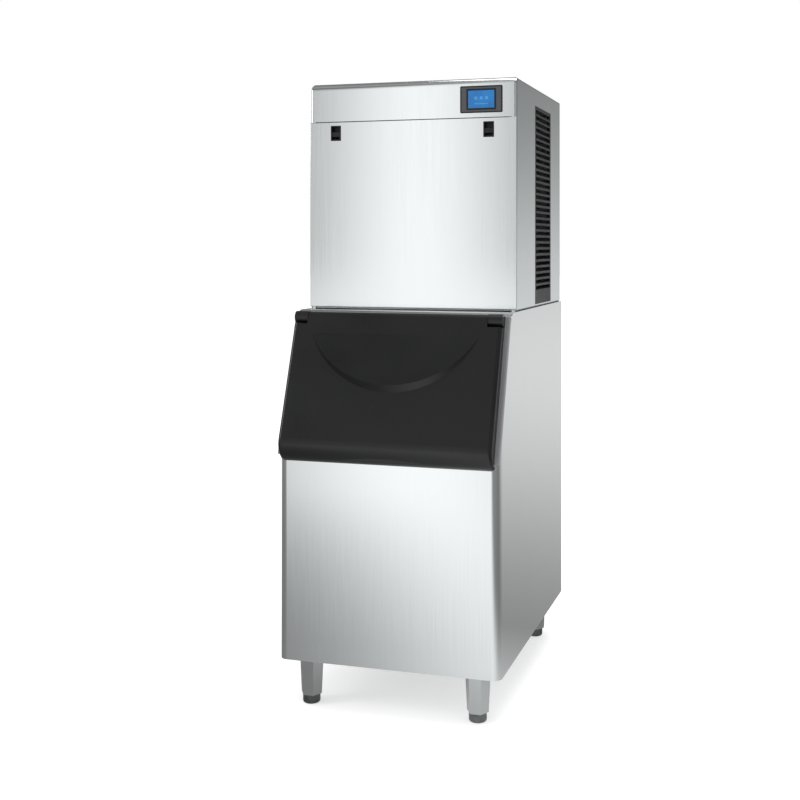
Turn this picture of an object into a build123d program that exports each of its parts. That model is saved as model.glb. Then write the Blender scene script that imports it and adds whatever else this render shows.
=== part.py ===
from build123d import *
from math import cos, radians, sin, sqrt, tan
import os

os.makedirs("parts", exist_ok=True)

# A cube ice machine: an ice-making head that stands on an insulated storage bin.
# Millimetres. X is to the right seen from the front, the front faces -Y and +Z is up.
# The origin is on the floor under the middle of the whole machine.

# Overall sizes
overall_width = 570.0
overall_depth = 810.0
overall_height = 1580.0

# Sheet and moulding walls
sheet = 1.5
moulding_wall = 4.0
liner_wall = 3.0

# Clearances
seat_gap = 0.3
pin_clearance = 0.05
hem_gap = 0.5

# Storage bin
leg_stand = 118.0
door_proud = 37.0
slope_height = 357.0
slope_angle = 18.6
bin_top_radius = 38.0
bin_corner_radius = 22.0
rear_hem = 16.0
insulation = 38.0
top_insulation = 28.0
bottom_insulation = 50.0
mouth_depth = 24.0
liner_radius = 30.0

# Ice-making head
head_height = 595.0
head_side_step = 4.0
head_setback = 230.0
panel_hem = 3.5
tray_flange = 14.0
tray_radius = 6.0
header_height = 101.0
header_roll = 18.0
panel_seam = 1.5
panel_lift = 5.0
rear_recess = 28.0
base_upstand = 25.0
return_flange = 12.0

# Side grille
grille_rear_margin = 144.0
grille_front_gap = 8.0
grille_top_drop = 50.0
grille_lift = 7.5
grille_depth = 8.0
grille_lip = 6.0
louvre_pitch = 16.5
louvre_gap = 10.4
louvre_side_margin = 11.0
louvre_drop = 4.0
louvre_top_margin = 10.0
louvre_bottom_margin = 30.0

# Display
bezel_width = 111.0
bezel_height = 69.0
bezel_proud = 2.4
bezel_depth = 12.0
bezel_rim = 3.0
screen_width = 69.0
screen_height = 45.0
screen_frame = 4.0
display_inset = 93.0
display_drop = 55.0
control_width = 140.0
control_depth = 56.0

# Slide latches of the front panel
latch_inset = 73.0
latch_drop = 132.0
latch_width = 28.0
latch_height = 40.0
latch_pocket_depth = 13.0
latch_rim = 3.0
latch_travel = 7.0
latch_proud = 1.0
latch_stem = 8.0
latch_slide_height = 13.0
latch_hold = 5.0

# Bin door, its hinge and its frame
door_side_step = 12.0
door_lean = 20.0
hinge_drop = 15.5
hinge_out = 26.15
barrel_radius = 14.0
knuckle_radius = 15.5
knuckle_length = 36.0
knuckle_gap = 1.0
shoulder_gap = 5.0
pin_radius = 4.0
pin_length = 62.0
door_bottom_radius = 46.0
door_edge_radius = 9.0
door_lip_clearance = 3.0
pocket_bottom_v = 22.0
grip_radius = 237.0
grip_drop = 192.0
grip_top = 45.0
grip_height = 15.0
recess_half_width = 175.0
recess_rise = 20.0
recess_depth = 20.0
frame_proud = 10.0
frame_side_strip = 58.0
frame_bottom_v = 2.0
frame_top_gap = 10.7
mouth_bottom_v = 64.0
mouth_top_margin = 28.0
mouth_radius = 18.0
throat_depth = 34.0
seal_height = 2.0
seal_width = 8.0
seal_gap = 2.3

# Ice drop
chute_side_gap = 2.0
chute_depth = 84.0
chute_setback = 19.0
chute_wall = 2.5
chute_rim = 8.0
chute_upstand = 14.0
chute_tail = 34.0

# Evaporator group
bulkhead_setback = 199.0
bulkhead_thick = 15.0
grid_reach = 44.0
grid_standoff = 20.0
grid_lift = 197.0
grid_side_space = 258.0
grid_top_space = 160.0
cell_pitch = 25.0
cell_wall = 2.0
grid_back = 2.0
coil_run_pitch = 48.0
coil_margin = 30.0
coil_end_inset = 31.0
rail_width = 16.0
rail_margin = 1.0
curtain_wall = 3.0
curtain_pin_radius = 3.0
curtain_gap = 26.0
distributor_radius = 10.0
trough_height = 62.0
trough_drop = 98.0
trough_wall = 2.5
pump_inset = 75.0
pump_radius = 28.0
pump_height = 74.0

# Refrigeration group
compressor_radius = 74.0
compressor_height = 196.0
compressor_dome = 30.0
compressor_x = -112.0
compressor_rear_gap = 173.0
foot_plate_x = 190.0
foot_plate_y = 140.0
grommet_height = 18.0
grommet_radius = 12.0
condenser_margin = 15.0
condenser_top_gap = 56.0
condenser_thick = 44.0
condenser_gap = 24.0
fin_pitch = 5.2
fin_thick = 1.0
fin_core = 8.0
pipe_radius = 4.75
pipe_bend = 24.0
short_bend = 14.0
line_low_lift = 42.0
line_high_drop = 24.0
shroud_depth = 38.0
fan_margin = 18.0
fan_tip_gap = 3.0
fan_raise = 24.0
fan_hub_radius = 20.0
fan_hub_length = 22.0
blade_count = 5
blade_thick = 2.0
blade_chord = 40.0
blade_angle = 28.0
shaft_radius = 4.0
motor_radius = 38.0
motor_length = 56.0
drier_lift = 24.0
drier_radius = 11.0
drier_length = 110.0

# Legs and feet
leg_side_inset = 68.0
leg_front_inset = 51.0
leg_rear_inset = 60.0
leg_top_radius = 32.0
leg_bottom_radius = 27.5
leg_stud_radius = 6.0
foot_height = 22.0
foot_radius = 22.0
foot_stem = 52.0
socket_size = 70.0
socket_thick = 8.0

# Service fittings
pipe_inset = 35.0
inlet_drop = 110.0
inlet_radius = 13.0
valve_length = 44.0
spigot_radius = 8.0
gland_inset = 81.0
service_lift = 52.0
gland_radius = 11.0
screw_radius = 2.0
vent_width = 130.0
vent_height = 7.0
vent_rows = 14
cable_radius = 4.5
bin_drain_inset = 115.0
bin_drain_radius = 13.0
bin_drain_reach = 40.0

# Faces that the sizes above fix
rear_y = overall_depth / 2
door_front_y = -overall_depth / 2
bin_front_y = door_front_y + door_proud
bin_half = overall_width / 2
head_half = bin_half - head_side_step
head_depth = overall_depth - head_setback
head_front_y = rear_y - head_depth
tray_front_y = head_front_y + panel_hem + hem_gap
header_face_y = tray_front_y - sheet
bin_top_z = overall_height - head_height
tray_top_z = overall_height - sheet
header_bottom_z = overall_height - header_height
inner_half = head_half - tray_radius - seat_gap
base_z = bin_top_z + sheet
base_top_z = base_z + sheet
rear_panel_y = rear_y - rear_recess
slope_foot_z = bin_top_z - slope_height
frame_top_v = slope_height / cos(radians(slope_angle)) - frame_top_gap
mouth_top_v = frame_top_v - mouth_top_margin
door_width = overall_width - 2 * door_side_step
mouth_middle_v = (mouth_bottom_v + mouth_top_v) / 2
mouth_half = bin_half - frame_side_strip
mouth_rise = mouth_top_v - mouth_bottom_v
throat_half = mouth_half + moulding_wall
bin_drain_y = rear_y - bin_drain_inset
bulkhead_y = head_front_y + bulkhead_setback
grid_front_y = bulkhead_y - grid_reach
grid_rear_y = bulkhead_y - grid_standoff
grid_base_z = base_top_z + grid_lift
cell_columns = int((2 * head_half - grid_side_space) / cell_pitch)
cell_rows = int((overall_height - grid_base_z - grid_top_space) / cell_pitch)
grid_width = cell_columns * cell_pitch + cell_wall
grid_height = cell_rows * cell_pitch + cell_wall
grid_top_z = grid_base_z + grid_height
grid_mid_z = grid_base_z + grid_height / 2
frame_half = grid_width / 2 + rail_margin + rail_width
chute_width = 2 * (frame_half + chute_side_gap)
chute_front_y = head_front_y + chute_setback
pipe_x = pipe_inset - head_half
inlet_z = overall_height - inlet_drop
service_z = base_top_z + service_lift
gland_x = head_half - gland_inset

# The slope plane lies on the bin's slanted front: local x runs across, local y (v) up
# the slope from its foot, and local z (w) straight out of it.
slope_plane = Plane(
    origin=(0, bin_front_y, slope_foot_z),
    x_dir=(1, 0, 0),
    z_dir=(0, -cos(radians(slope_angle)), sin(radians(slope_angle))),
)


def slope_point(v, w):
    """The (y, z) of a point given by its height up the slope and its height off it."""
    point = slope_plane.from_local_coords(Vector(0, v, w))
    return point.Y, point.Z


def finish(piece, name):
    """Label a finished piece and write it as its own file."""
    piece.part.label = name
    export_step(piece.part, f"parts/{name}.step")


def slab(x, y, z, mode=Mode.ADD):
    """A block that fills three (low, high) ranges, in the part being built."""
    with Locations(((x[0] + x[1]) / 2, (y[0] + y[1]) / 2, (z[0] + z[1]) / 2)):
        Box(x[1] - x[0], y[1] - y[0], z[1] - z[0], mode=mode)


def bin_corners(front, slope, top, bottom, rear):
    """The (y, z) corners of the bin's side outline, each side moved in by its own amount."""
    foot_y, foot_z = slope_point(0, -slope)
    lean = tan(radians(slope_angle))
    front_y = bin_front_y + front
    top_z = bin_top_z - top
    bottom_z = leg_stand + bottom
    return [
        (rear_y - rear, bottom_z),
        (front_y, bottom_z),
        (front_y, foot_z + (front_y - foot_y) / lean),
        (foot_y + (top_z - foot_z) * lean, top_z),
        (rear_y - rear, top_z),
    ]


def bin_block(inset, half_width, corner):
    """The bin's full outline as a solid, moved in by one amount on every side."""
    with BuildPart() as block:
        with BuildSketch(Plane.YZ) as side:
            with BuildLine():
                Polyline(*bin_corners(inset, inset, inset, inset, inset), close=True)
            make_face()
            crown = side.vertices().group_by(Axis.Y)[-1].sort_by(Axis.X)[0]
            fillet(crown, bin_top_radius - inset)
        extrude(amount=half_width, both=True)
        fillet(block.edges().filter_by(Axis.Z).group_by(Axis.Y)[0], corner)
    return block.part


def liner_corners(grow, slope):
    """The (y, z) corners of the ice liner, grown all round but set back from the slope."""
    inset = insulation - grow
    return bin_corners(inset, slope, top_insulation - grow, bottom_insulation - grow, inset)


def liner_block(grow, slope):
    """The ice liner's rounded outline as a solid."""
    with BuildPart() as block:
        with BuildSketch(Plane.YZ) as side:
            with BuildLine():
                Polyline(*liner_corners(grow, slope), close=True)
            make_face()
            floor_corners = side.vertices().group_by(Axis.Y)[0]
            ceiling_corner = side.vertices().group_by(Axis.Y)[-1].sort_by(Axis.X)[-1]
            fillet(floor_corners + [ceiling_corner], liner_radius + grow)
        extrude(amount=bin_half - insulation + grow, both=True)
        mouth = block.faces().sort_by(Axis((0, 0, 0), slope_plane.z_dir))[-1]
        mouth_edges = mouth.edges()
        ends = block.faces().filter_by(Axis.X).edges()
        fillet([edge for edge in ends if edge not in mouth_edges], liner_radius / 2 + grow)
    return block.part


# Storage bin

# Outer wrap: front and both sides are one sheet, bent round the front corners
with BuildPart() as bin_wrap:
    add(bin_block(0, bin_half, bin_corner_radius))
    open_faces = [
        face
        for face in bin_wrap.faces()
        if abs(face.normal_at().X) < 0.1 and face.normal_at().Y > -0.99
    ]
    offset(amount=-sheet, openings=open_faces)
    for side in (-1, 1):
        hem = sorted((side * (bin_half - rear_hem), side * (bin_half - sheet / 2)))
        slab(hem, (rear_y - sheet, rear_y), (leg_stand, bin_top_z))
finish(bin_wrap, "bin_wrap")

# Top sheet, bent down over the crown of the slope, with the hole for the ice drop
bin_inner_half = bin_half - sheet - seat_gap
drop_half = chute_width / 2 + chute_wall + seat_gap
drop_y = (
    chute_front_y - chute_wall - seat_gap,
    chute_front_y + chute_depth + chute_wall + seat_gap,
)
with BuildPart() as bin_top_plate:
    add(bin_block(0, bin_inner_half, bin_corner_radius))
    add(bin_block(sheet, bin_half, bin_corner_radius), mode=Mode.SUBTRACT)
    with BuildSketch(slope_plane):
        with Locations((0, frame_top_v + hem_gap)):
            Rectangle(overall_width, overall_height, align=(Align.CENTER, Align.MAX))
    extrude(amount=overall_height, both=True, mode=Mode.SUBTRACT)
    slab((-bin_half, bin_half), (rear_y - sheet, rear_y + sheet), (0, overall_height), Mode.SUBTRACT)
    slab((-drop_half, drop_half), drop_y, (0, overall_height), Mode.SUBTRACT)
finish(bin_top_plate, "bin_top_plate")

# Rear sheet of the bin, held behind the hems of the wrap
with BuildPart() as bin_rear_panel:
    slab(
        (-bin_inner_half, bin_inner_half),
        (rear_y - 2 * sheet, rear_y - sheet),
        (leg_stand, bin_top_z - sheet),
    )
finish(bin_rear_panel, "bin_rear_panel")

# Bottom tray, with an upstand all round and holes for the legs and the drain
leg_x = bin_half - leg_side_inset
leg_front_y = bin_front_y + leg_front_inset
leg_rear_y = rear_y - leg_rear_inset
leg_places = [(x, y) for x in (-leg_x, leg_x) for y in (leg_front_y, leg_rear_y)]
tray_front = bin_front_y + sheet + seat_gap
tray_rear = rear_y - 2 * sheet
with BuildPart() as bin_bottom:
    with BuildSketch(Plane.XY.offset(leg_stand)) as floor:
        with Locations((0, (tray_front + tray_rear) / 2)):
            Rectangle(2 * bin_inner_half, tray_rear - tray_front)
        fillet(floor.vertices().group_by(Axis.Y)[0], bin_corner_radius - sheet - seat_gap)
    extrude(amount=base_upstand)
    offset(amount=-sheet, openings=bin_bottom.faces().sort_by(Axis.Z)[-1])
    with BuildSketch(Plane.XY.offset(leg_stand)):
        with Locations(*leg_places):
            Circle(leg_stud_radius + seat_gap)
        with Locations((0, bin_drain_y)):
            Circle(bin_drain_radius + seat_gap)
    extrude(amount=sheet, mode=Mode.SUBTRACT)
finish(bin_bottom, "bin_bottom")

# Ice liner: one moulded tub with holes for the door's throat, the ice drop and the drain
liner_floor_z = leg_stand + bottom_insulation
with BuildPart() as bin_liner:
    add(liner_block(0, mouth_depth))
    add(liner_block(-liner_wall, mouth_depth + liner_wall), mode=Mode.SUBTRACT)
    with BuildSketch(slope_plane):
        with Locations((0, mouth_middle_v)):
            RectangleRounded(
                2 * (throat_half + seat_gap),
                mouth_rise + 2 * (moulding_wall + seat_gap),
                mouth_radius + moulding_wall,
            )
    extrude(amount=-2 * mouth_depth, mode=Mode.SUBTRACT)
    slab((-drop_half, drop_half), drop_y, (liner_floor_z + insulation, bin_top_z), Mode.SUBTRACT)
    with BuildSketch(Plane.XY.offset(liner_floor_z)):
        with Locations((0, bin_drain_y)):
            Circle(bin_drain_radius + seat_gap)
    extrude(amount=liner_wall, mode=Mode.SUBTRACT)
finish(bin_liner, "bin_liner")

# Foam between the sheets and the liner, with room for the throat and the leg sockets
board_x = bin_half - insulation + seat_gap
with BuildPart() as foam:
    add(bin_block(3 * sheet + 2 * seat_gap, bin_inner_half - sheet - seat_gap, bin_corner_radius))
    with BuildSketch(Plane.YZ):
        with BuildLine():
            Polyline(*liner_corners(seat_gap, mouth_depth), close=True)
        make_face()
    extrude(amount=board_x, both=True, mode=Mode.SUBTRACT)
    with BuildSketch(slope_plane):
        with Locations((0, mouth_middle_v)):
            Rectangle(2 * (throat_half + seat_gap), mouth_rise + 2 * (moulding_wall + seat_gap))
    extrude(amount=-mouth_depth - liner_wall, mode=Mode.SUBTRACT)
    slab((-drop_half, drop_half), drop_y, (liner_floor_z + insulation, bin_top_z), Mode.SUBTRACT)
    for x, y in leg_places:
        reach = socket_size / 2 + seat_gap
        slab(
            (x - reach, x + reach),
            (y - reach, y + reach),
            (leg_stand, leg_stand + sheet + socket_thick + leg_stud_radius + seat_gap),
            Mode.SUBTRACT,
        )
    with BuildSketch(Plane.XY.offset(leg_stand)):
        with Locations((0, bin_drain_y)):
            Circle(bin_drain_radius + seat_gap)
    extrude(amount=bottom_insulation, mode=Mode.SUBTRACT)


def foam_board(x, y, z, v):
    """The foam inside three (low, high) ranges, and inside a fourth up the slope."""
    with BuildPart() as board:
        add(foam.part)
        slab(x, y, z, Mode.INTERSECT)
        with BuildSketch(slope_plane):
            with Locations((0, (v[0] + v[1]) / 2)):
                Rectangle(overall_width, v[1] - v[0])
        extrude(amount=overall_height, both=True, mode=Mode.INTERSECT)
    return board.part


# The foam is cut into boards: floor, rear, sides, four round the ice drop, and the front's
# lower board, cheeks and lip round the throat
board_y = rear_y - insulation + seat_gap
floor_board_z = liner_floor_z - seat_gap
top_board_z = bin_top_z - top_insulation + seat_gap
throat_rise = mouth_rise / 2 + moulding_wall + seat_gap
throat_v = (mouth_middle_v - throat_rise, mouth_middle_v + throat_rise)
whole_x = (-bin_half, bin_half)
inner_x = (seat_gap - board_x, board_x - seat_gap)
front_y = (bin_front_y, board_y - seat_gap)
above_floor = (liner_floor_z, bin_top_z)
below_top = (liner_floor_z, top_board_z - seat_gap)
top_z = (top_board_z, bin_top_z)
whole_v = (-overall_height, overall_height)
foam_ranges = [
    (whole_x, (bin_front_y, rear_y), (leg_stand, floor_board_z), whole_v),
    (whole_x, (board_y, rear_y), above_floor, whole_v),
    (inner_x, (bin_front_y, drop_y[0]), top_z, whole_v),
    (inner_x, (drop_y[1], board_y - seat_gap), top_z, whole_v),
    (inner_x, front_y, below_top, (-overall_height, throat_v[0])),
    (inner_x, front_y, below_top, (throat_v[1], overall_height)),
]
for side in (-1, 1):
    wall_x = sorted((side * board_x, side * bin_half))
    beside_drop_x = sorted((side * drop_half, side * (board_x - seat_gap)))
    cheek_x = sorted((side * (throat_half + seat_gap), side * (board_x - seat_gap)))
    foam_ranges += [
        (wall_x, front_y, above_floor, whole_v),
        (beside_drop_x, (drop_y[0] + seat_gap, drop_y[1] - seat_gap), top_z, whole_v),
        (cheek_x, front_y, below_top, (throat_v[0] + seat_gap, throat_v[1] - seat_gap)),
    ]
with BuildPart() as bin_insulation:
    for ranges in foam_ranges:
        add(foam_board(*ranges))
finish(bin_insulation, "bin_insulation")

# Drain of the bin: a flanged tail that hangs under the floor, held by a nut
with BuildPart() as bin_drain:
    with BuildSketch(Plane.XY.offset(leg_stand - bin_drain_reach)):
        with Locations((0, bin_drain_y)):
            Circle(bin_drain_radius)
    extrude(amount=bin_drain_reach + bottom_insulation + liner_wall)
    with BuildSketch(Plane.XY.offset(liner_floor_z + liner_wall)):
        with Locations((0, bin_drain_y)):
            Circle(bin_drain_radius * 1.7)
    extrude(amount=liner_wall)
    with BuildSketch(Plane.XY.offset(leg_stand)):
        with Locations((0, bin_drain_y)):
            RegularPolygon(bin_drain_radius + 2 * moulding_wall, 6)
    extrude(amount=-2 * moulding_wall)
    with BuildSketch(Plane.XY.offset(leg_stand - bin_drain_reach)):
        with Locations((0, bin_drain_y)):
            Circle(bin_drain_radius - liner_wall)
    extrude(amount=overall_height, mode=Mode.SUBTRACT)
finish(bin_drain, "bin_drain")

# Sockets above the bottom tray, one for each leg, all alike
with BuildPart() as leg_sockets:
    with BuildSketch(Plane.XY.offset(leg_stand + sheet)):
        with Locations(*leg_places):
            RectangleRounded(socket_size, socket_size, socket_thick)
    extrude(amount=socket_thick)
    with BuildSketch(Plane.XY.offset(leg_stand + sheet)):
        with Locations(*leg_places):
            Circle(leg_stud_radius + pin_clearance)
    extrude(amount=socket_thick, mode=Mode.SUBTRACT)
finish(leg_sockets, "leg_sockets")


# Legs: six-sided, tapered, with a bore for the foot and a stud into the socket
leg_names = {
    "front_left": (-leg_x, leg_front_y),
    "front_right": (leg_x, leg_front_y),
    "rear_left": (-leg_x, leg_rear_y),
    "rear_right": (leg_x, leg_rear_y),
}
for corner, (x, y) in leg_names.items():
    with BuildPart() as leg:
        with BuildSketch(Plane.XY.offset(foot_height + seat_gap)):
            with Locations((x, y)):
                RegularPolygon(leg_bottom_radius - sheet, 6)
        with BuildSketch(Plane.XY.offset(foot_height + seat_gap + 2 * sheet)):
            with Locations((x, y)):
                RegularPolygon(leg_bottom_radius, 6)
        loft()
        with BuildSketch(Plane.XY.offset(foot_height + seat_gap + 2 * sheet)):
            with Locations((x, y)):
                RegularPolygon(leg_bottom_radius, 6)
        with BuildSketch(Plane.XY.offset(leg_stand)):
            with Locations((x, y)):
                RegularPolygon(leg_top_radius, 6)
        loft()
        with BuildSketch(Plane.XY.offset(leg_stand)):
            with Locations((x, y)):
                Circle(leg_stud_radius)
        extrude(amount=sheet + socket_thick + leg_stud_radius / 2)
        with BuildSketch(Plane.XY.offset(foot_height + seat_gap)):
            with Locations((x, y)):
                Circle(leg_stud_radius + pin_clearance)
        extrude(amount=foot_stem + seat_gap, mode=Mode.SUBTRACT)
    finish(leg, f"leg_{corner}")

    with BuildPart() as foot:
        with BuildSketch(Plane.XY):
            with Locations((x, y)):
                Circle(foot_radius)
        extrude(amount=foot_height)
        fillet(foot.edges().sort_by(Axis.Z)[0], foot_height / 4)
        fillet(foot.edges().sort_by(Axis.Z)[-1], sheet)
        with BuildSketch(Plane.XY.offset(foot_height)):
            with Locations((x, y)):
                Circle(leg_stud_radius)
        extrude(amount=foot_stem - sheet)
    finish(foot, f"foot_{corner}")

# Door frame: a flange on the slope, a throat into the liner and two hinge lugs
lug_inner_x = door_width / 2 - knuckle_length
hinge_v = frame_top_v - hinge_drop
hinge_w = hinge_out
hinge_y, hinge_z = slope_point(hinge_v, hinge_w)
with BuildPart() as door_frame:
    with BuildSketch(slope_plane):
        with Locations((0, (frame_bottom_v + frame_top_v) / 2)):
            Rectangle(overall_width, frame_top_v - frame_bottom_v)
        with Locations((0, mouth_middle_v)):
            RectangleRounded(2 * mouth_half, mouth_rise, mouth_radius, mode=Mode.SUBTRACT)
    extrude(amount=frame_proud)
    rim = door_frame.faces().sort_by(Axis((0, 0, 0), slope_plane.z_dir))[-1].outer_wire().edges()
    fillet(rim, liner_wall)
    with BuildSketch(slope_plane):
        with Locations((0, mouth_middle_v)):
            RectangleRounded(
                2 * throat_half,
                mouth_rise + 2 * moulding_wall,
                mouth_radius + moulding_wall,
            )
            RectangleRounded(2 * mouth_half, mouth_rise, mouth_radius, mode=Mode.SUBTRACT)
    extrude(amount=-throat_depth)
    lug_back = [
        slope_point(hinge_v - knuckle_radius, frame_proud - sheet),
        slope_point(hinge_v + knuckle_radius, frame_proud - sheet),
        slope_point(hinge_v + knuckle_radius, hinge_w),
        slope_point(hinge_v - knuckle_radius, hinge_w),
    ]
    for start in (lug_inner_x, -door_width / 2):
        with BuildSketch(Plane.YZ.offset(start)):
            with BuildLine():
                Polyline(*lug_back, close=True)
            make_face()
            with Locations((hinge_y, hinge_z)):
                Circle(knuckle_radius)
        extrude(amount=knuckle_length)
    with BuildSketch(Plane.YZ):
        with Locations((hinge_y, hinge_z)):
            Circle(pin_radius + pin_clearance)
    bore_end = door_width / 2 - moulding_wall
    extrude(amount=bore_end, both=True, mode=Mode.SUBTRACT)
finish(door_frame, "door_frame")

# Rubber seal on the frame, round the mouth
with BuildPart() as door_seal:
    with BuildSketch(slope_plane.offset(frame_proud)):
        with Locations((0, mouth_middle_v)):
            for reach, mode in ((sheet + seal_width, Mode.ADD), (sheet, Mode.SUBTRACT)):
                RectangleRounded(
                    2 * (mouth_half + reach), mouth_rise + 2 * reach, mouth_radius + reach, mode=mode
                )
    extrude(amount=seal_height)
finish(door_seal, "door_seal")

# Hinge pins, one in each lug
for side, name in ((-1, "hinge_pin_left"), (1, "hinge_pin_right")):
    with BuildPart() as hinge_pin:
        with BuildSketch(Plane.YZ.offset(side * (bore_end - hem_gap))):
            with Locations((hinge_y, hinge_z)):
                Circle(pin_radius)
        extrude(amount=-side * pin_length)
        chamfer(hinge_pin.edges(), hem_gap)
    finish(hinge_pin, name)

# Raised grip of the door: a cone on the door's face, cut by a plane that leans out
door_normal = (-cos(radians(door_lean)), sin(radians(door_lean)))
face_top = (hinge_y + barrel_radius * door_normal[0], hinge_z + barrel_radius * door_normal[1])
door_face = Plane(
    origin=(0, face_top[0], face_top[1]),
    x_dir=(1, 0, 0),
    z_dir=(0, door_normal[0], door_normal[1]),
)


def face_point(down, out):
    """The (y, z) of a point given by its distance down the door's face and off it."""
    point = door_face.from_local_coords(Vector(0, -down, out))
    return point.Y, point.Z


grip_run = grip_drop - grip_height - grip_top
with BuildPart() as door_grip:
    with BuildSketch(door_face.offset(-sheet)):
        with Locations((0, grip_radius - grip_drop)):
            Circle(grip_radius + sheet)
    extrude(amount=2 * grip_height, taper=45)
    with BuildSketch(Plane.YZ):
        with BuildLine():
            Polyline(
                face_point(grip_top, 0),
                face_point(grip_top + 2 * grip_run, 2 * grip_height),
                face_point(grip_top + 2 * grip_run, -sheet),
                face_point(grip_top, -sheet),
                close=True,
            )
        make_face()
    extrude(amount=grip_radius, both=True, mode=Mode.INTERSECT)

# Door: a hollow moulding with a hinge barrel, a rounded foot and a finger recess
seal_w = frame_proud + seal_gap
arc_y = door_front_y + door_bottom_radius
arc_offset = (arc_y - face_top[0]) * door_normal[0] + door_bottom_radius
arc_z = face_top[1] - arc_offset / door_normal[1]
arc_start = (
    arc_y + door_bottom_radius * door_normal[0],
    arc_z + door_bottom_radius * door_normal[1],
)
face_run = (face_top[1] - arc_start[1]) / cos(radians(door_lean))
lip_y = bin_front_y - door_lip_clearance
lip_bottom_z = arc_z - sqrt(door_bottom_radius**2 - (lip_y - arc_y) ** 2)
lip_top_z = slope_foot_z - sheet
lip_v = (lip_top_z - slope_point(0, seal_w)[1]) / cos(radians(slope_angle))
pocket_half = door_width / 2 - moulding_wall
pocket_corners = [
    slope_point(hinge_v - 1.8 * barrel_radius, seal_w - sheet),
    slope_point(pocket_bottom_v, seal_w - sheet),
    face_point(face_run, -moulding_wall),
    face_point(2 * barrel_radius, -moulding_wall),
]
with BuildPart() as bin_door:
    with BuildSketch(Plane.YZ):
        with BuildLine():
            Line(face_top, arc_start)
            ThreePointArc(
                arc_start,
                (arc_y - door_bottom_radius * sin(radians(60)), arc_z - door_bottom_radius * cos(radians(60))),
                (lip_y, lip_bottom_z),
            )
            Polyline(
                (lip_y, lip_bottom_z),
                (lip_y, lip_top_z),
                slope_point(lip_v, seal_w),
                slope_point(hinge_v, seal_w),
                face_top,
            )
        make_face()
    extrude(amount=door_width / 2, both=True)
    outer_edges = [
        edge
        for edge in bin_door.faces().filter_by(Axis.X).edges()
        if slope_plane.to_local_coords(edge @ 0.5).Z > seal_w + barrel_radius
    ]
    fillet(outer_edges, door_edge_radius)
    for side in (-1, 1):
        with BuildSketch(slope_plane):
            with Locations((side * door_width / 2, hinge_v - knuckle_radius - shoulder_gap)):
                Rectangle(
                    2 * (knuckle_length + knuckle_gap),
                    overall_height,
                    align=(Align.CENTER, Align.MIN),
                )
        extrude(amount=overall_height, mode=Mode.SUBTRACT)
    with BuildSketch(Plane.YZ):
        with Locations((hinge_y, hinge_z)):
            Circle(barrel_radius)
    extrude(amount=lug_inner_x - knuckle_gap, both=True)
    add(door_grip.part)
    with BuildSketch(Plane.YZ):
        with BuildLine():
            Polyline(*pocket_corners, close=True)
        make_face()
    extrude(amount=pocket_half, both=True, mode=Mode.SUBTRACT)
    with BuildSketch(Plane.XZ.offset(-lip_y + recess_depth)) as recess:
        with BuildLine():
            ThreePointArc(
                (-recess_half_width, lip_bottom_z - sheet),
                (0, lip_bottom_z + recess_rise),
                (recess_half_width, lip_bottom_z - sheet),
            )
            Line((recess_half_width, lip_bottom_z - sheet), (-recess_half_width, lip_bottom_z - sheet))
        make_face()
    extrude(amount=overall_depth, mode=Mode.SUBTRACT)
    for side in (-1, 1):
        with BuildSketch(Plane.YZ.offset(side * (lug_inner_x - knuckle_gap))):
            with Locations((hinge_y, hinge_z)):
                Circle(pin_radius + pin_clearance)
        bore_depth = pin_length + lug_inner_x - bore_end
        extrude(amount=-side * bore_depth, mode=Mode.SUBTRACT)
finish(bin_door, "bin_door")

# Inner panel of the door, set into the back of the moulding, with a shallow recess
with BuildPart() as door_inner_panel:
    with BuildSketch(Plane.YZ):
        with BuildLine():
            Polyline(*pocket_corners, close=True)
        make_face()
        offset(amount=-seat_gap, kind=Kind.INTERSECTION)
    extrude(amount=pocket_half - seat_gap, both=True)
    with BuildSketch(slope_plane.offset(seal_w)):
        Rectangle(overall_width, overall_height)
    extrude(amount=liner_wall, mode=Mode.INTERSECT)
    with BuildSketch(slope_plane.offset(seal_w)):
        with Locations((0, mouth_middle_v)):
            RectangleRounded(2 * mouth_half, mouth_rise, mouth_radius)
    extrude(amount=liner_wall / 2, mode=Mode.SUBTRACT)
finish(door_inner_panel, "door_inner_panel")

# Ice-making head

# Side panels: folded trays, open towards the middle; the right one has the grille hole
grille_y = (bulkhead_y + bulkhead_thick + grille_front_gap, rear_y - grille_rear_margin)
grille_z = (bin_top_z + grille_lift, overall_height - grille_top_drop)
for side, name in ((-1, "side_panel_left"), (1, "side_panel_right")):
    with BuildPart() as side_panel:
        with BuildSketch(Plane.YZ.offset(side * (head_half - tray_flange))) as outline:
            with Locations(((tray_front_y + rear_y) / 2, (bin_top_z + tray_top_z) / 2)):
                Rectangle(rear_y - tray_front_y, tray_top_z - bin_top_z)
            front_top = outline.vertices().group_by(Axis.Y)[-1].sort_by(Axis.X)[0]
            fillet(front_top, header_roll - sheet)
        extrude(amount=side * tray_flange)
        from_middle = side_panel.faces().sort_by(Axis((0, 0, 0), (side, 0, 0)))
        fillet(from_middle[-1].edges(), tray_radius)
        middle_face = side_panel.faces().sort_by(Axis((0, 0, 0), (side, 0, 0)))[0]
        offset(amount=-sheet, openings=middle_face)
        if side == 1:
            slab((head_half - 2 * sheet, head_half), grille_y, grille_z, Mode.SUBTRACT)
    finish(side_panel, name)

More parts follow.
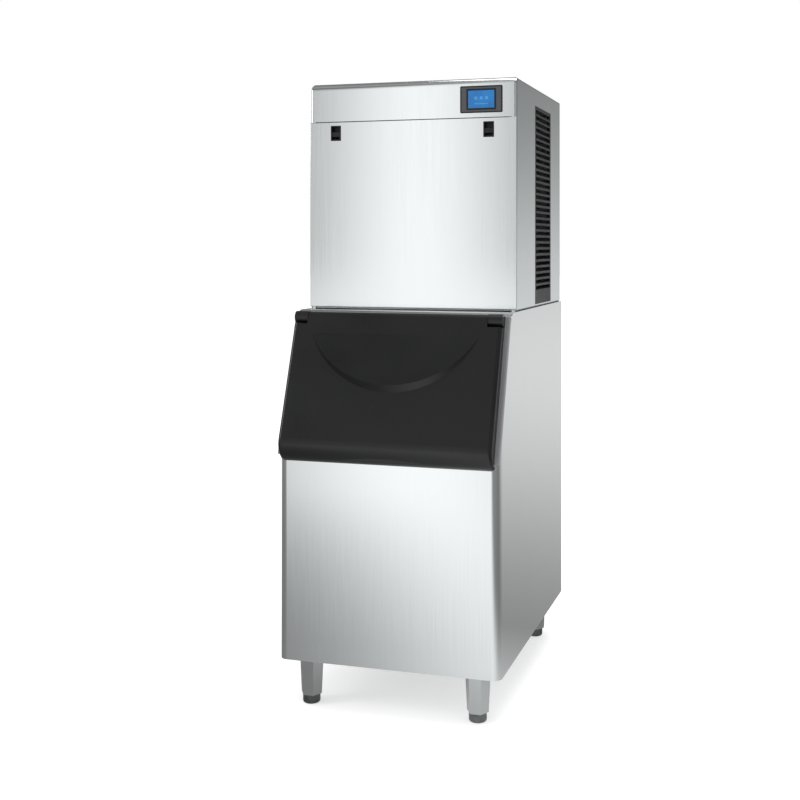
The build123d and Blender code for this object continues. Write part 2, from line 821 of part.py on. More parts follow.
# Top cover: one sheet from the rear edge over the rolled front edge and down the header
cover_half = head_half - tray_radius - hem_gap
between_trays = head_half - tray_flange - hem_gap
flange_end_y = header_face_y + return_flange
display_x = head_half - display_inset
display_z = overall_height - display_drop
bezel_tail_width = bezel_width - 2 * bezel_rim
bezel_tail_height = bezel_height - 2 * bezel_rim
with BuildPart() as top_cover:
    with BuildSketch(Plane.YZ) as profile:
        for inset, mode in ((0, Mode.ADD), (sheet, Mode.SUBTRACT)):
            with BuildSketch(mode=Mode.PRIVATE) as outline:
                with Locations((header_face_y + inset, overall_height - inset)):
                    Rectangle(head_depth, header_height, align=(Align.MIN, Align.MAX))
                corner = outline.vertices().group_by(Axis.Y)[-1].sort_by(Axis.X)[0]
                fillet(corner, header_roll - inset)
            add(outline.sketch, mode=mode)
    extrude(amount=cover_half, both=True)
    slab((-cover_half, cover_half), (rear_y, overall_depth), (0, overall_height), Mode.SUBTRACT)
    flange_x = (-between_trays, between_trays)
    slab(flange_x, (header_face_y, flange_end_y), (header_bottom_z, header_bottom_z + sheet))
    slab(flange_x, (flange_end_y - sheet, flange_end_y), (header_bottom_z, header_bottom_z + latch_hold))
    slab(flange_x, (rear_y - sheet, rear_y), (overall_height - tray_flange, overall_height))
    with BuildSketch(Plane.XZ.offset(-header_face_y)):
        with Locations((display_x, display_z)):
            RectangleRounded(bezel_tail_width + 2 * seat_gap, bezel_tail_height + 2 * seat_gap, bezel_rim)
    extrude(amount=-sheet, mode=Mode.SUBTRACT)
finish(top_cover, "top_cover")

# Front panel: lifts off once both latches are down; its lower shelf sits on the base
panel_z = (bin_top_z + panel_lift, header_bottom_z - panel_seam)
panel_back_y = head_front_y + panel_hem
latch_x = head_half - latch_inset
latch_z = overall_height - latch_drop
pocket_width = latch_width - 2 * latch_rim
pocket_height = latch_height - 2 * latch_rim
housing_width = pocket_width + latch_rim
housing_height = pocket_height + latch_rim
with BuildPart() as front_panel:
    slab((-head_half, head_half), (head_front_y, panel_back_y), panel_z)
    fillet(front_panel.faces().sort_by(Axis.Y)[0].edges(), sheet)
    returns_half = head_half - tray_flange - liner_wall
    returns_z = (base_z + base_upstand, panel_z[1] - sheet)
    slab((-returns_half, returns_half), (panel_back_y, panel_back_y + return_flange), returns_z)
    slab(
        (-returns_half + sheet, returns_half - sheet),
        (panel_back_y, panel_back_y + return_flange),
        (returns_z[0] + sheet, returns_z[1] - sheet),
        Mode.SUBTRACT,
    )
    with BuildSketch(Plane.XZ.offset(-head_front_y)):
        with Locations((-latch_x, latch_z), (latch_x, latch_z)):
            Rectangle(housing_width + 2 * seat_gap, housing_height + 2 * seat_gap)
    extrude(amount=-panel_hem, mode=Mode.SUBTRACT)
finish(front_panel, "front_panel")

# Latches: a pocket in the front panel and a slide with a tongue behind the header
housing_back_y = head_front_y - latch_proud + latch_pocket_depth + sheet
slide_z = latch_z - pocket_height / 2 + latch_travel + seat_gap
stem_z = (slide_z + latch_rim, slide_z + 2 * latch_rim)
tongue_y = panel_back_y + return_flange + seat_gap
for side, corner in ((-1, "left"), (1, "right")):
    with BuildPart() as latch_housing:
        with BuildSketch(Plane.XZ.offset(-head_front_y)):
            with Locations((side * latch_x, latch_z)):
                RectangleRounded(latch_width, latch_height, latch_rim / 2)
        extrude(amount=latch_proud)
        with BuildSketch(Plane.XZ.offset(-head_front_y)):
            with Locations((side * latch_x, latch_z)):
                Rectangle(housing_width, housing_height)
        extrude(amount=head_front_y - housing_back_y)
        with BuildSketch(Plane.XZ.offset(latch_proud - head_front_y)):
            with Locations((side * latch_x, latch_z)):
                Rectangle(pocket_width, pocket_height)
        extrude(amount=-latch_pocket_depth, mode=Mode.SUBTRACT)
        slab(
            (side * latch_x - latch_stem / 2 - seat_gap, side * latch_x + latch_stem / 2 + seat_gap),
            (housing_back_y - 2 * sheet, housing_back_y),
            (stem_z[0] - latch_travel - seat_gap, stem_z[1] + seat_gap),
            Mode.SUBTRACT,
        )
    finish(latch_housing, f"latch_housing_{corner}")

    with BuildPart() as latch_slide:
        slide_half = pocket_width / 2 - pin_clearance
        slab(
            (side * latch_x - slide_half, side * latch_x + slide_half),
            (head_front_y, housing_back_y - sheet - pin_clearance),
            (slide_z, slide_z + latch_slide_height),
        )
        fillet(latch_slide.faces().sort_by(Axis.Y)[0].edges().filter_by(Axis.X), latch_rim / 2)
        stem_x = (side * latch_x - latch_stem / 2, side * latch_x + latch_stem / 2)
        slab(stem_x, (head_front_y + latch_rim, tongue_y + sheet), stem_z)
        slab(stem_x, (tongue_y, tongue_y + sheet), (stem_z[0], header_bottom_z + latch_hold))
    finish(latch_slide, f"latch_slide_{corner}")

# Display bezel: a raised rim round a flat field, with a pocket for the screen
bezel_front_y = header_face_y - bezel_proud
screen_back_y = header_face_y + sheet
with BuildPart() as display_bezel:
    with BuildSketch(Plane.XZ.offset(-header_face_y)):
        with Locations((display_x, display_z)):
            RectangleRounded(bezel_width, bezel_height, bezel_rim)
    extrude(amount=bezel_proud)
    fillet(display_bezel.faces().sort_by(Axis.Y)[0].edges(), hem_gap)
    with BuildSketch(Plane.XZ.offset(-header_face_y)):
        with Locations((display_x, display_z)):
            RectangleRounded(bezel_tail_width, bezel_tail_height, bezel_rim)
    extrude(amount=-bezel_depth)
    with BuildSketch(Plane.XZ.offset(-bezel_front_y)):
        with Locations((display_x, display_z)):
            Rectangle(bezel_tail_width, bezel_tail_height)
            Rectangle(screen_width + 2 * screen_frame, screen_height + 2 * screen_frame, mode=Mode.SUBTRACT)
    extrude(amount=-bezel_proud / 3, mode=Mode.SUBTRACT)
    with BuildSketch(Plane.XZ.offset(-bezel_front_y)):
        with Locations((display_x, display_z)):
            Rectangle(screen_width + 2 * seat_gap, screen_height + 2 * seat_gap)
    extrude(amount=bezel_front_y - screen_back_y, mode=Mode.SUBTRACT)
finish(display_bezel, "display_bezel")

# Display screen
with BuildPart() as display_screen:
    with BuildSketch(Plane.XZ.offset(-screen_back_y)):
        with Locations((display_x, display_z)):
            Rectangle(screen_width, screen_height)
    extrude(amount=screen_back_y - bezel_front_y - hem_gap)
finish(display_screen, "display_screen")

# Control box behind the display, open at the back
box_front_y = header_face_y + bezel_depth
with BuildPart() as control_box:
    slab(
        (display_x - control_width / 2, display_x + control_width / 2),
        (box_front_y, box_front_y + control_depth),
        (display_z - bezel_height / 2, display_z + bezel_height / 2),
    )
    offset(amount=-sheet, openings=control_box.faces().sort_by(Axis.Y)[-1])
finish(control_box, "control_box")

# Side grille: slanted louvres in a frame, with a lip behind the side panel
with BuildPart() as side_grille:
    slab(
        (head_half - grille_depth, head_half),
        (grille_y[0] + seat_gap, grille_y[1] - seat_gap),
        (grille_z[0] + seat_gap, grille_z[1] - seat_gap),
    )
    slab(
        (head_half - grille_depth, head_half - sheet),
        (grille_y[0] - grille_lip, grille_y[1] + grille_lip),
        (grille_z[0] - seat_gap, grille_z[1] + grille_lip),
    )
    top_louvre_z = grille_z[1] - louvre_top_margin - louvre_gap / 2
    louvre_run = grille_z[1] - grille_z[0] - louvre_top_margin - louvre_bottom_margin
    louvre_width = grille_y[1] - grille_y[0] - 2 * louvre_side_margin
    with BuildSketch(Plane.YZ.offset(head_half)):
        with Locations(
            *[
                (sum(grille_y) / 2, top_louvre_z - row * louvre_pitch)
                for row in range(int(louvre_run / louvre_pitch))
            ]
        ):
            Rectangle(louvre_width, louvre_gap)
    slant = Vector(-grille_depth, 0, louvre_drop)
    extrude(amount=slant.length, dir=slant, mode=Mode.SUBTRACT)
finish(side_grille, "side_grille")

# Base tray of the head, with an upstand all round and the hole for the ice drop
base_rear_y = rear_panel_y - sheet
inner_front_y = tray_front_y + sheet + seat_gap
screw_x = (head_half - 2 * tray_flange) / 4
screw_z = base_top_z + base_upstand / 2
with BuildPart() as head_base:
    slab((-inner_half, inner_half), (inner_front_y, base_rear_y), (base_z, base_z + base_upstand))
    offset(amount=-sheet, openings=head_base.faces().sort_by(Axis.Z)[-1])
    slab((-drop_half, drop_half), drop_y, (base_z, base_top_z), Mode.SUBTRACT)
    slab(
        (head_half - grille_depth - seat_gap, inner_half),
        (grille_y[0] - 2 * grille_lip, grille_y[1] + 2 * grille_lip),
        (base_top_z, base_z + base_upstand),
        Mode.SUBTRACT,
    )
    with BuildSketch(Plane.XZ.offset(-base_rear_y)):
        with Locations((0, screw_z)):
            with GridLocations(2 * screw_x, 1, 4, 1):
                Circle(screw_radius + pin_clearance)
    extrude(amount=sheet, mode=Mode.SUBTRACT)
finish(head_base, "head_base")

# Ice chute: hangs in the drop hole by its rim
chute_mid_y = chute_front_y + chute_depth / 2
with BuildPart() as ice_chute:
    with BuildSketch(Plane.XY.offset(bin_top_z - chute_tail)):
        with Locations((0, chute_mid_y)):
            Rectangle(chute_width + 2 * chute_wall, chute_depth + 2 * chute_wall)
    extrude(amount=chute_tail + base_top_z - bin_top_z + chute_upstand)
    with BuildSketch(Plane.XY.offset(base_top_z)):
        with Locations((0, chute_mid_y)):
            Rectangle(
                chute_width + 2 * (chute_wall + chute_rim), chute_depth + 2 * (chute_wall + chute_rim)
            )
    extrude(amount=chute_wall)
    with BuildSketch(Plane.XY.offset(bin_top_z - chute_tail)):
        with Locations((0, chute_mid_y)):
            Rectangle(chute_width, chute_depth)
    extrude(amount=overall_height, mode=Mode.SUBTRACT)
finish(ice_chute, "ice_chute")

# Rear panel of the head: a pan with its flanges to the rear, vent slots and fitting holes
with BuildPart() as head_rear_panel:
    slab(
        (-inner_half, inner_half),
        (base_rear_y, rear_y - 2 * sheet - seat_gap),
        (base_z, tray_top_z - sheet - seat_gap),
    )
    offset(amount=-sheet, openings=head_rear_panel.faces().sort_by(Axis.Y)[-1])
    with BuildSketch(Plane.XZ.offset(-base_rear_y)):
        with Locations((0, screw_z)):
            with GridLocations(2 * screw_x, 1, 4, 1):
                Circle(screw_radius + pin_clearance)
        with Locations((pipe_x, inlet_z)):
            Circle(inlet_radius + seat_gap)
        with Locations((pipe_x, service_z)):
            Circle(spigot_radius + seat_gap)
        with Locations((gland_x, service_z)):
            Circle(gland_radius + seat_gap)
        with Locations((0, (base_z + tray_top_z) / 2)):
            with GridLocations(vent_width + 4 * vent_height, 2 * vent_height, 2, vent_rows):
                Rectangle(vent_width, vent_height)
    extrude(amount=-sheet, mode=Mode.SUBTRACT)
finish(head_rear_panel, "head_rear_panel")

# Screws of the rear panel, all alike
with BuildPart() as rear_screws:
    with BuildSketch(Plane.XZ.offset(-rear_panel_y)):
        with Locations((0, screw_z)):
            with GridLocations(2 * screw_x, 1, 4, 1):
                Circle(2 * screw_radius)
    extrude(amount=-screw_radius)
    chamfer(rear_screws.faces().sort_by(Axis.Y)[-4:].edges(), hem_gap)
    with BuildSketch(Plane.XZ.offset(-rear_panel_y)):
        with Locations((0, screw_z)):
            with GridLocations(2 * screw_x, 1, 4, 1):
                Circle(screw_radius)
    extrude(amount=5 * screw_radius)
finish(rear_screws, "rear_screws")

# Bulkhead between the ice side at the front and the machine side at the rear
coil_turns = 2 * int((grid_height - coil_margin) / (2 * coil_run_pitch))
coil_run_z = [grid_mid_z + (run - coil_turns / 2) * coil_run_pitch for run in range(coil_turns + 1)]
coil_end_x = grid_width / 2 - coil_end_inset
bulkhead_half = inner_half - sheet - seat_gap
with BuildPart() as bulkhead:
    slab(
        (-bulkhead_half, bulkhead_half),
        (bulkhead_y, bulkhead_y + bulkhead_thick),
        (base_top_z, tray_top_z - sheet - seat_gap),
    )
    with BuildSketch(Plane.XZ.offset(-bulkhead_y)):
        with Locations(
            (pipe_x, inlet_z), (pipe_x, service_z), (coil_end_x, coil_run_z[0]), (-coil_end_x, coil_run_z[-1])
        ):
            Circle(pipe_radius + seat_gap)
    extrude(amount=-bulkhead_thick, mode=Mode.SUBTRACT)
finish(bulkhead, "bulkhead")

# Evaporator grid: open cells on a flat back, in which the cubes freeze
with BuildPart() as evaporator_grid:
    slab((-grid_width / 2, grid_width / 2), (grid_front_y, grid_rear_y), (grid_base_z, grid_top_z))
    with BuildSketch(Plane.XZ.offset(-grid_front_y)):
        with Locations((0, grid_mid_z)):
            with GridLocations(cell_pitch, cell_pitch, cell_columns, cell_rows):
                Rectangle(cell_pitch - cell_wall, cell_pitch - cell_wall)
    extrude(amount=grid_back + grid_front_y - grid_rear_y, mode=Mode.SUBTRACT)
finish(evaporator_grid, "evaporator_grid")


def tube(points, radius, bends):
    """A round tube along straight runs, with one bend radius for each corner."""
    with BuildPart() as pipe:
        with BuildLine() as path:
            FilletPolyline(*points, radius=bends)
        with BuildSketch(Plane(origin=path.line @ 0, z_dir=path.line % 0)):
            Circle(radius)
        sweep()
    return pipe.part


# Evaporator coil: one tube that runs to and fro behind the grid
coil_y = grid_rear_y + pipe_radius
coil_half = grid_width / 2 - pipe_radius - cell_wall
coil_end_y = bulkhead_y + 2 * bulkhead_thick
coil_points = [(coil_end_x, coil_end_y, coil_run_z[0]), (coil_end_x, coil_y, coil_run_z[0])]
for run in range(coil_turns):
    turn_x = coil_half if run % 2 else -coil_half
    coil_points += [(turn_x, coil_y, coil_run_z[run]), (turn_x, coil_y, coil_run_z[run + 1])]
coil_points += [(-coil_end_x, coil_y, coil_run_z[-1]), (-coil_end_x, coil_end_y, coil_run_z[-1])]
turn_radius = coil_run_pitch / 2 - hem_gap
end_radius = bulkhead_y - coil_y - liner_wall
with BuildPart() as evaporator_coil:
    add(tube(coil_points, pipe_radius, [end_radius] + 2 * coil_turns * [turn_radius] + [end_radius]))
finish(evaporator_coil, "evaporator_coil")

# Evaporator frame: two rails and a head rail, with the pins of the water curtain
rail_front_y = grid_front_y - moulding_wall
rail_top_z = grid_top_z + rail_width
curtain_y = rail_front_y + 2 * moulding_wall
curtain_z = rail_top_z - 2 * moulding_wall
with BuildPart() as evaporator_frame:
    slab((-frame_half, frame_half), (rail_front_y, bulkhead_y), (grid_base_z - moulding_wall, rail_top_z))
    slab(
        (rail_width - frame_half, frame_half - rail_width),
        (rail_front_y, bulkhead_y),
        (grid_base_z - moulding_wall, grid_top_z),
        Mode.SUBTRACT,
    )
    for side in (-1, 1):
        ledge = sorted((side * (frame_half - rail_width), side * (frame_half - 2 * rail_width)))
        slab(ledge, (grid_rear_y - moulding_wall, bulkhead_y), (grid_base_z - moulding_wall, grid_base_z))
        with BuildSketch(Plane.YZ.offset(side * frame_half)):
            with Locations((curtain_y, curtain_z)):
                Circle(curtain_pin_radius)
        extrude(amount=side * 2 * moulding_wall)
finish(evaporator_frame, "evaporator_frame")

# Water distributor: a tube with drip holes on top of the evaporator frame
distributor_z = rail_top_z + distributor_radius
with BuildPart() as water_distributor:
    with BuildSketch(Plane.YZ):
        with Locations((curtain_y, distributor_z)):
            Circle(distributor_radius)
            Circle(distributor_radius - sheet, mode=Mode.SUBTRACT)
    extrude(amount=grid_width / 2, both=True)
    with BuildSketch(Plane.XY.offset(distributor_z)):
        with Locations((0, curtain_y - distributor_radius)):
            with GridLocations(cell_pitch, 1, cell_columns, 1):
                Rectangle(moulding_wall, moulding_wall)
    extrude(amount=-distributor_radius / 2, mode=Mode.SUBTRACT)
finish(water_distributor, "water_distributor")

# Water curtain: hangs from the frame's pins and swings forward when the ice drops
ear_x = frame_half + hem_gap
trough_top_z = grid_base_z - trough_drop + trough_height
curtain_front_y = grid_front_y - curtain_gap
ear_reach = 2 * moulding_wall
with BuildPart() as water_curtain:
    slab(
        (-ear_x - curtain_wall, ear_x + curtain_wall),
        (curtain_front_y, curtain_front_y + curtain_wall),
        (trough_top_z + moulding_wall, curtain_z + ear_reach),
    )
    for side in (-1, 1):
        ear = sorted((side * ear_x, side * (ear_x + curtain_wall)))
        slab(ear, (curtain_front_y, curtain_y + ear_reach), (curtain_z - ear_reach, curtain_z + ear_reach))
        with BuildSketch(Plane.YZ.offset(side * ear_x)):
            with Locations((curtain_y, curtain_z)):
                Circle(curtain_pin_radius + pin_clearance)
        extrude(amount=side * curtain_wall, mode=Mode.SUBTRACT)
finish(water_curtain, "water_curtain")

# Water trough: an open tub under the evaporator and the pump
trough_bottom_z = grid_base_z - trough_drop
trough_x = (pipe_x - rail_width, frame_half + 2 * moulding_wall)
trough_front_y = curtain_front_y - 2 * curtain_wall - chute_rim
with BuildPart() as water_trough:
    slab(trough_x, (trough_front_y, bulkhead_y), (trough_bottom_z, trough_top_z))
    fillet(water_trough.edges().filter_by(Axis.X).group_by(Axis.Z)[0], 4 * moulding_wall)
    offset(amount=-trough_wall, openings=water_trough.faces().sort_by(Axis.Z)[-1])
finish(water_trough, "water_trough")

# Water pump: a motor on a bracket, with its inlet tube down in the trough
pump_x = pump_inset - head_half
pump_z = grid_base_z + pump_height
with BuildPart() as water_pump:
    slab(
        (pump_x - pump_radius, pump_x + pump_radius),
        (curtain_y - pump_radius, bulkhead_y),
        (grid_base_z - trough_wall, grid_base_z),
    )
    with BuildSketch(Plane.XY.offset(grid_base_z)):
        with Locations((pump_x, curtain_y)):
            Circle(pump_radius)
    extrude(amount=pump_height)
    fillet(water_pump.faces().sort_by(Axis.Z)[-1].edges(), moulding_wall)
    with BuildSketch(Plane.XY.offset(trough_bottom_z + 2 * moulding_wall)):
        with Locations((pump_x, curtain_y)):
            Circle(distributor_radius)
    extrude(amount=trough_drop - 2 * moulding_wall)
finish(water_pump, "water_pump")

# Hose from the pump up to the distributor
with BuildPart() as pump_hose:
    hose_points = [
        (pump_x, curtain_y, pump_z),
        (pump_x, curtain_y, distributor_z),
        (-grid_width / 2, curtain_y, distributor_z),
    ]
    add(tube(hose_points, distributor_radius - sheet, [pipe_bend]))
finish(pump_hose, "pump_hose")

# Compressor: a welded shell on a foot plate, with a terminal box on its side
compressor_y = rear_y - compressor_rear_gap
compressor_foot_z = base_top_z + grommet_height
compressor_top_z = compressor_foot_z + compressor_height
with BuildPart() as compressor:
    with BuildSketch(Plane.XY.offset(compressor_foot_z)):
        with Locations((compressor_x, compressor_y)):
            Circle(compressor_radius)
    extrude(amount=compressor_height)
    fillet(compressor.faces().sort_by(Axis.Z)[-1].edges(), compressor_dome)
    with BuildSketch(Plane.XY.offset(compressor_foot_z)):
        with Locations((compressor_x, compressor_y)):
            RectangleRounded(foot_plate_x, foot_plate_y, grommet_radius)
    extrude(amount=moulding_wall)
    slab(
        (compressor_x - compressor_radius - rail_width, compressor_x - compressor_radius / 2),
        (compressor_y - 2 * rail_width, compressor_y + 2 * rail_width),
        (compressor_foot_z + compressor_height / 3, compressor_foot_z + 2 * compressor_height / 3),
    )
finish(compressor, "compressor")

# Rubber mounts under the compressor's foot plate, all alike
with BuildPart() as compressor_mounts:
    with BuildSketch(Plane.XY.offset(base_top_z)):
        with Locations((compressor_x, compressor_y)):
            with GridLocations(foot_plate_x - 3 * grommet_radius, foot_plate_y - 3 * grommet_radius, 2, 2):
                Circle(grommet_radius)
    extrude(amount=grommet_height)
    fillet(compressor_mounts.edges(), sheet)
finish(compressor_mounts, "compressor_mounts")

# Condenser: a comb of fins on a core between two end plates
condenser_face_x = head_half - grille_depth - condenser_gap
condenser_x = (condenser_face_x - condenser_thick, condenser_face_x)
condenser_mid_x = sum(condenser_x) / 2
condenser_mid_y = sum(grille_y) / 2
condenser_y = (grille_y[0] + condenser_margin, grille_y[1] - condenser_margin)
condenser_depth = condenser_y[1] - condenser_y[0]
condenser_top_z = grille_z[1] - condenser_top_gap
fin_count = int((condenser_top_z - base_top_z) / fin_pitch) - 2
header_y = condenser_y[1] + rail_width + moulding_wall
with BuildPart() as condenser:
    slab(
        (condenser_mid_x - fin_core / 2, condenser_mid_x + fin_core / 2),
        condenser_y,
        (base_top_z + fin_pitch, condenser_top_z - fin_pitch),
    )
    with Locations((condenser_mid_x, condenser_mid_y, (base_top_z + condenser_top_z) / 2)):
        with Locations(*[(0, 0, (fin - (fin_count - 1) / 2) * fin_pitch) for fin in range(fin_count)]):
            Box(condenser_thick, condenser_depth, fin_thick)
    for plate_y in (condenser_y[0] - sheet, condenser_y[1]):
        slab(condenser_x, (plate_y, plate_y + sheet), (base_top_z, condenser_top_z))
finish(condenser, "condenser")

# Fan shroud: a box on the inner side of the condenser, with the fan's round hole
shroud_x = (condenser_x[0] - shroud_depth, condenser_x[0])
fan_z = (base_top_z + condenser_top_z) / 2 + fan_raise
fan_radius = condenser_depth / 2 - fan_margin
with BuildPart() as fan_shroud:
    slab(
        shroud_x,
        (condenser_y[0] - sheet, condenser_y[1] + sheet),
        (base_top_z + fin_pitch, condenser_top_z),
    )
    offset(amount=-sheet, openings=fan_shroud.faces().sort_by(Axis.X)[-1])
    with BuildSketch(Plane.YZ.offset(shroud_x[0])):
        with Locations((condenser_mid_y, fan_z)):
            Circle(fan_radius + fan_tip_gap)
    extrude(amount=sheet, mode=Mode.SUBTRACT)
finish(fan_shroud, "fan_shroud")

# Fan motor, held on the shroud by four arms
with BuildPart() as fan_motor:
    with BuildSketch(Plane.YZ.offset(shroud_x[0] - motor_length)):
        with Locations((condenser_mid_y, fan_z)):
            Circle(motor_radius)
    extrude(amount=motor_length)
    fillet(fan_motor.faces().sort_by(Axis.X)[0].edges(), 2 * moulding_wall)
    with BuildSketch(Plane.YZ.offset(shroud_x[0] - moulding_wall)):
        with Locations((condenser_mid_y, fan_z)):
            Rectangle(2 * (fan_radius + 2 * moulding_wall), 3 * moulding_wall)
            Rectangle(3 * moulding_wall, 2 * (fan_radius + 2 * moulding_wall))
    extrude(amount=moulding_wall)
    with BuildSketch(Plane.YZ.offset(shroud_x[0])):
        with Locations((condenser_mid_y, fan_z)):
            Circle(shaft_radius + pin_clearance)
    extrude(amount=-motor_length / 2, mode=Mode.SUBTRACT)
finish(fan_motor, "fan_motor")

# Fan: five pitched blades on a hub, with the shaft that turns in the motor
fan_plane = Plane(
    origin=(shroud_x[0] + fan_hub_length / 2 + moulding_wall, condenser_mid_y, fan_z),
    x_dir=(0, 1, 0),
    z_dir=(1, 0, 0),
)
shaft_reach = motor_length / 2 - hem_gap + moulding_wall
with BuildPart(fan_plane) as fan_blade:
    with PolarLocations((fan_radius + fan_hub_radius / 2) / 2, blade_count):
        Box(fan_radius - fan_hub_radius / 2, blade_chord, blade_thick, rotation=(blade_angle, 0, 0))
    Cylinder(fan_radius, blade_chord, mode=Mode.INTERSECT)
    Cylinder(fan_hub_radius, fan_hub_length)
    with Locations((0, 0, -fan_hub_length / 2)):
        Cylinder(shaft_radius, shaft_reach, align=(Align.CENTER, Align.CENTER, Align.MAX))
finish(fan_blade, "fan_blade")

# Filter drier, upright between the condenser and the liquid line, with its inlet tube
line_low_z = base_top_z + line_low_lift
drier_z = line_low_z + drier_lift
with BuildPart() as filter_drier:
    with BuildSketch(Plane.XY.offset(drier_z)):
        with Locations((coil_end_x, header_y)):
            Circle(drier_radius)
    extrude(amount=drier_length)
    fillet(filter_drier.edges(), drier_radius / 2)
    outlet_points = [
        (condenser_mid_x, condenser_y[1] + sheet, line_low_z),
        (condenser_mid_x, header_y, line_low_z),
        (coil_end_x, header_y, line_low_z),
        (coil_end_x, header_y, drier_z),
    ]
    add(tube(outlet_points, pipe_radius, [short_bend, short_bend]))
finish(filter_drier, "filter_drier")

# Liquid line from the drier to the evaporator coil
with BuildPart() as liquid_line:
    liquid_points = [
        (coil_end_x, header_y, drier_z + drier_length),
        (coil_end_x, header_y, coil_run_z[0]),
        (coil_end_x, coil_end_y, coil_run_z[0]),
    ]
    add(tube(liquid_points, pipe_radius, [pipe_bend]))
finish(liquid_line, "liquid_line")

# Suction line from the evaporator coil to the compressor
with BuildPart() as suction_line:
    suction_y = compressor_y - compressor_radius / 3
    suction_points = [
        (-coil_end_x, coil_end_y, coil_run_z[-1]),
        (-coil_end_x, suction_y, coil_run_z[-1]),
        (-coil_end_x, suction_y, compressor_top_z),
    ]
    add(tube(suction_points, pipe_radius, [short_bend]))
finish(suction_line, "suction_line")

# Discharge line from the compressor to the top of the condenser
line_high_z = condenser_top_z - line_high_drop
with BuildPart() as discharge_line:
    discharge_points = [
        (compressor_x, header_y, compressor_top_z),
        (compressor_x, header_y, line_high_z),
        (condenser_mid_x, header_y, line_high_z),
        (condenser_mid_x, condenser_y[1] + sheet, line_high_z),
    ]
    add(tube(discharge_points, pipe_radius, [pipe_bend, short_bend]))
finish(discharge_line, "discharge_line")

# Water inlet valve: a hose spigot through the rear panel and a tube to the trough
fitting_end_y = rear_y - moulding_wall
fitting_start_y = base_rear_y - valve_length
with BuildPart() as water_inlet_valve:
    with BuildSketch(Plane.XZ.offset(-base_rear_y)):
        with Locations((pipe_x, inlet_z)):
            Circle(inlet_radius)
    extrude(amount=base_rear_y - fitting_end_y)
    slab(
        (pipe_x - inlet_radius - moulding_wall, pipe_x + inlet_radius + moulding_wall),
        (fitting_start_y, base_rear_y),
        (inlet_z - inlet_radius - moulding_wall, inlet_z + inlet_radius + moulding_wall),
    )
    with BuildSketch(Plane.XY.offset(inlet_z)):
        with Locations((pipe_x, (fitting_start_y + base_rear_y) / 2)):
            Circle(inlet_radius)
    extrude(amount=valve_length)
    with BuildSketch(Plane.XZ.offset(-rear_panel_y)):
        with Locations((pipe_x, inlet_z)):
            RegularPolygon(inlet_radius + moulding_wall, 6)
    extrude(amount=-moulding_wall)
    with BuildSketch(Plane.XZ.offset(-fitting_end_y)):
        with Locations((pipe_x, inlet_z)):
            Circle(inlet_radius - moulding_wall)
    extrude(amount=fitting_end_y - base_rear_y, mode=Mode.SUBTRACT)
    inlet_points = [
        (pipe_x, fitting_start_y, inlet_z),
        (pipe_x, curtain_y, inlet_z),
        (pipe_x, curtain_y, trough_top_z + 2 * moulding_wall),
    ]
    add(tube(inlet_points, pipe_radius, [pipe_bend]))
finish(water_inlet_valve, "water_inlet_valve")

# Drain spigot of the trough, out through the rear panel
with BuildPart() as drain_spigot:
    with BuildSketch(Plane.XZ.offset(-base_rear_y)):
        with Locations((pipe_x, service_z)):
            Circle(spigot_radius)
    extrude(amount=base_rear_y - fitting_end_y)
    with BuildSketch(Plane.XZ.offset(-base_rear_y)):
        with Locations((pipe_x, service_z)):
            Circle(2 * spigot_radius)
    extrude(amount=moulding_wall)
    with BuildSketch(Plane.XZ.offset(-rear_panel_y)):
        with Locations((pipe_x, service_z)):
            RegularPolygon(spigot_radius + moulding_wall, 6)
    extrude(amount=-moulding_wall)
    with BuildSketch(Plane.XZ.offset(-fitting_end_y)):
        with Locations((pipe_x, service_z)):
            Circle(spigot_radius - liner_wall)
    extrude(amount=fitting_end_y - base_rear_y, mode=Mode.SUBTRACT)
    drain_points = [
        (pipe_x, base_rear_y - moulding_wall, service_z),
        (pipe_x, curtain_y, service_z),
        (pipe_x, curtain_y, trough_bottom_z),
    ]
    add(tube(drain_points, pipe_radius, [pipe_bend]))
finish(drain_spigot, "drain_spigot")

# Cable gland in the rear panel, with a bore for the supply cable
with BuildPart() as cable_gland:
    with BuildSketch(Plane.XZ.offset(-base_rear_y)):
        with Locations((gland_x, service_z)):
            Circle(gland_radius)
    extrude(amount=base_rear_y - fitting_end_y)
    for hex_y in (rear_panel_y, base_rear_y - moulding_wall):
        with BuildSketch(Plane.XZ.offset(-hex_y)):
            with Locations((gland_x, service_z)):
                RegularPolygon(gland_radius + moulding_wall, 6)
        extrude(amount=-moulding_wall)
    with BuildSketch(Plane.XZ.offset(-base_rear_y + moulding_wall)):
        with Locations((gland_x, service_z)):
            Circle(cable_radius)
    extrude(amount=-overall_depth, mode=Mode.SUBTRACT)
finish(cable_gland, "cable_gland")
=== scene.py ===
# %% [markdown]
# # A cube ice machine, dressed for its photograph
# The imported CAD model is the frame of this scene: every sheet, moulding and tube is already
# in its place, in metres. This lesson gives each of them the surface that the real one has,
# adds the small pieces that are easier to make in Blender, and lights the whole machine in a
# plain studio. The frame is loaded first. No finish may make the machine larger.

# %% Load the frame
import bpy
import bmesh
from math import cos, pi, radians, sin
from mathutils import Matrix, Vector


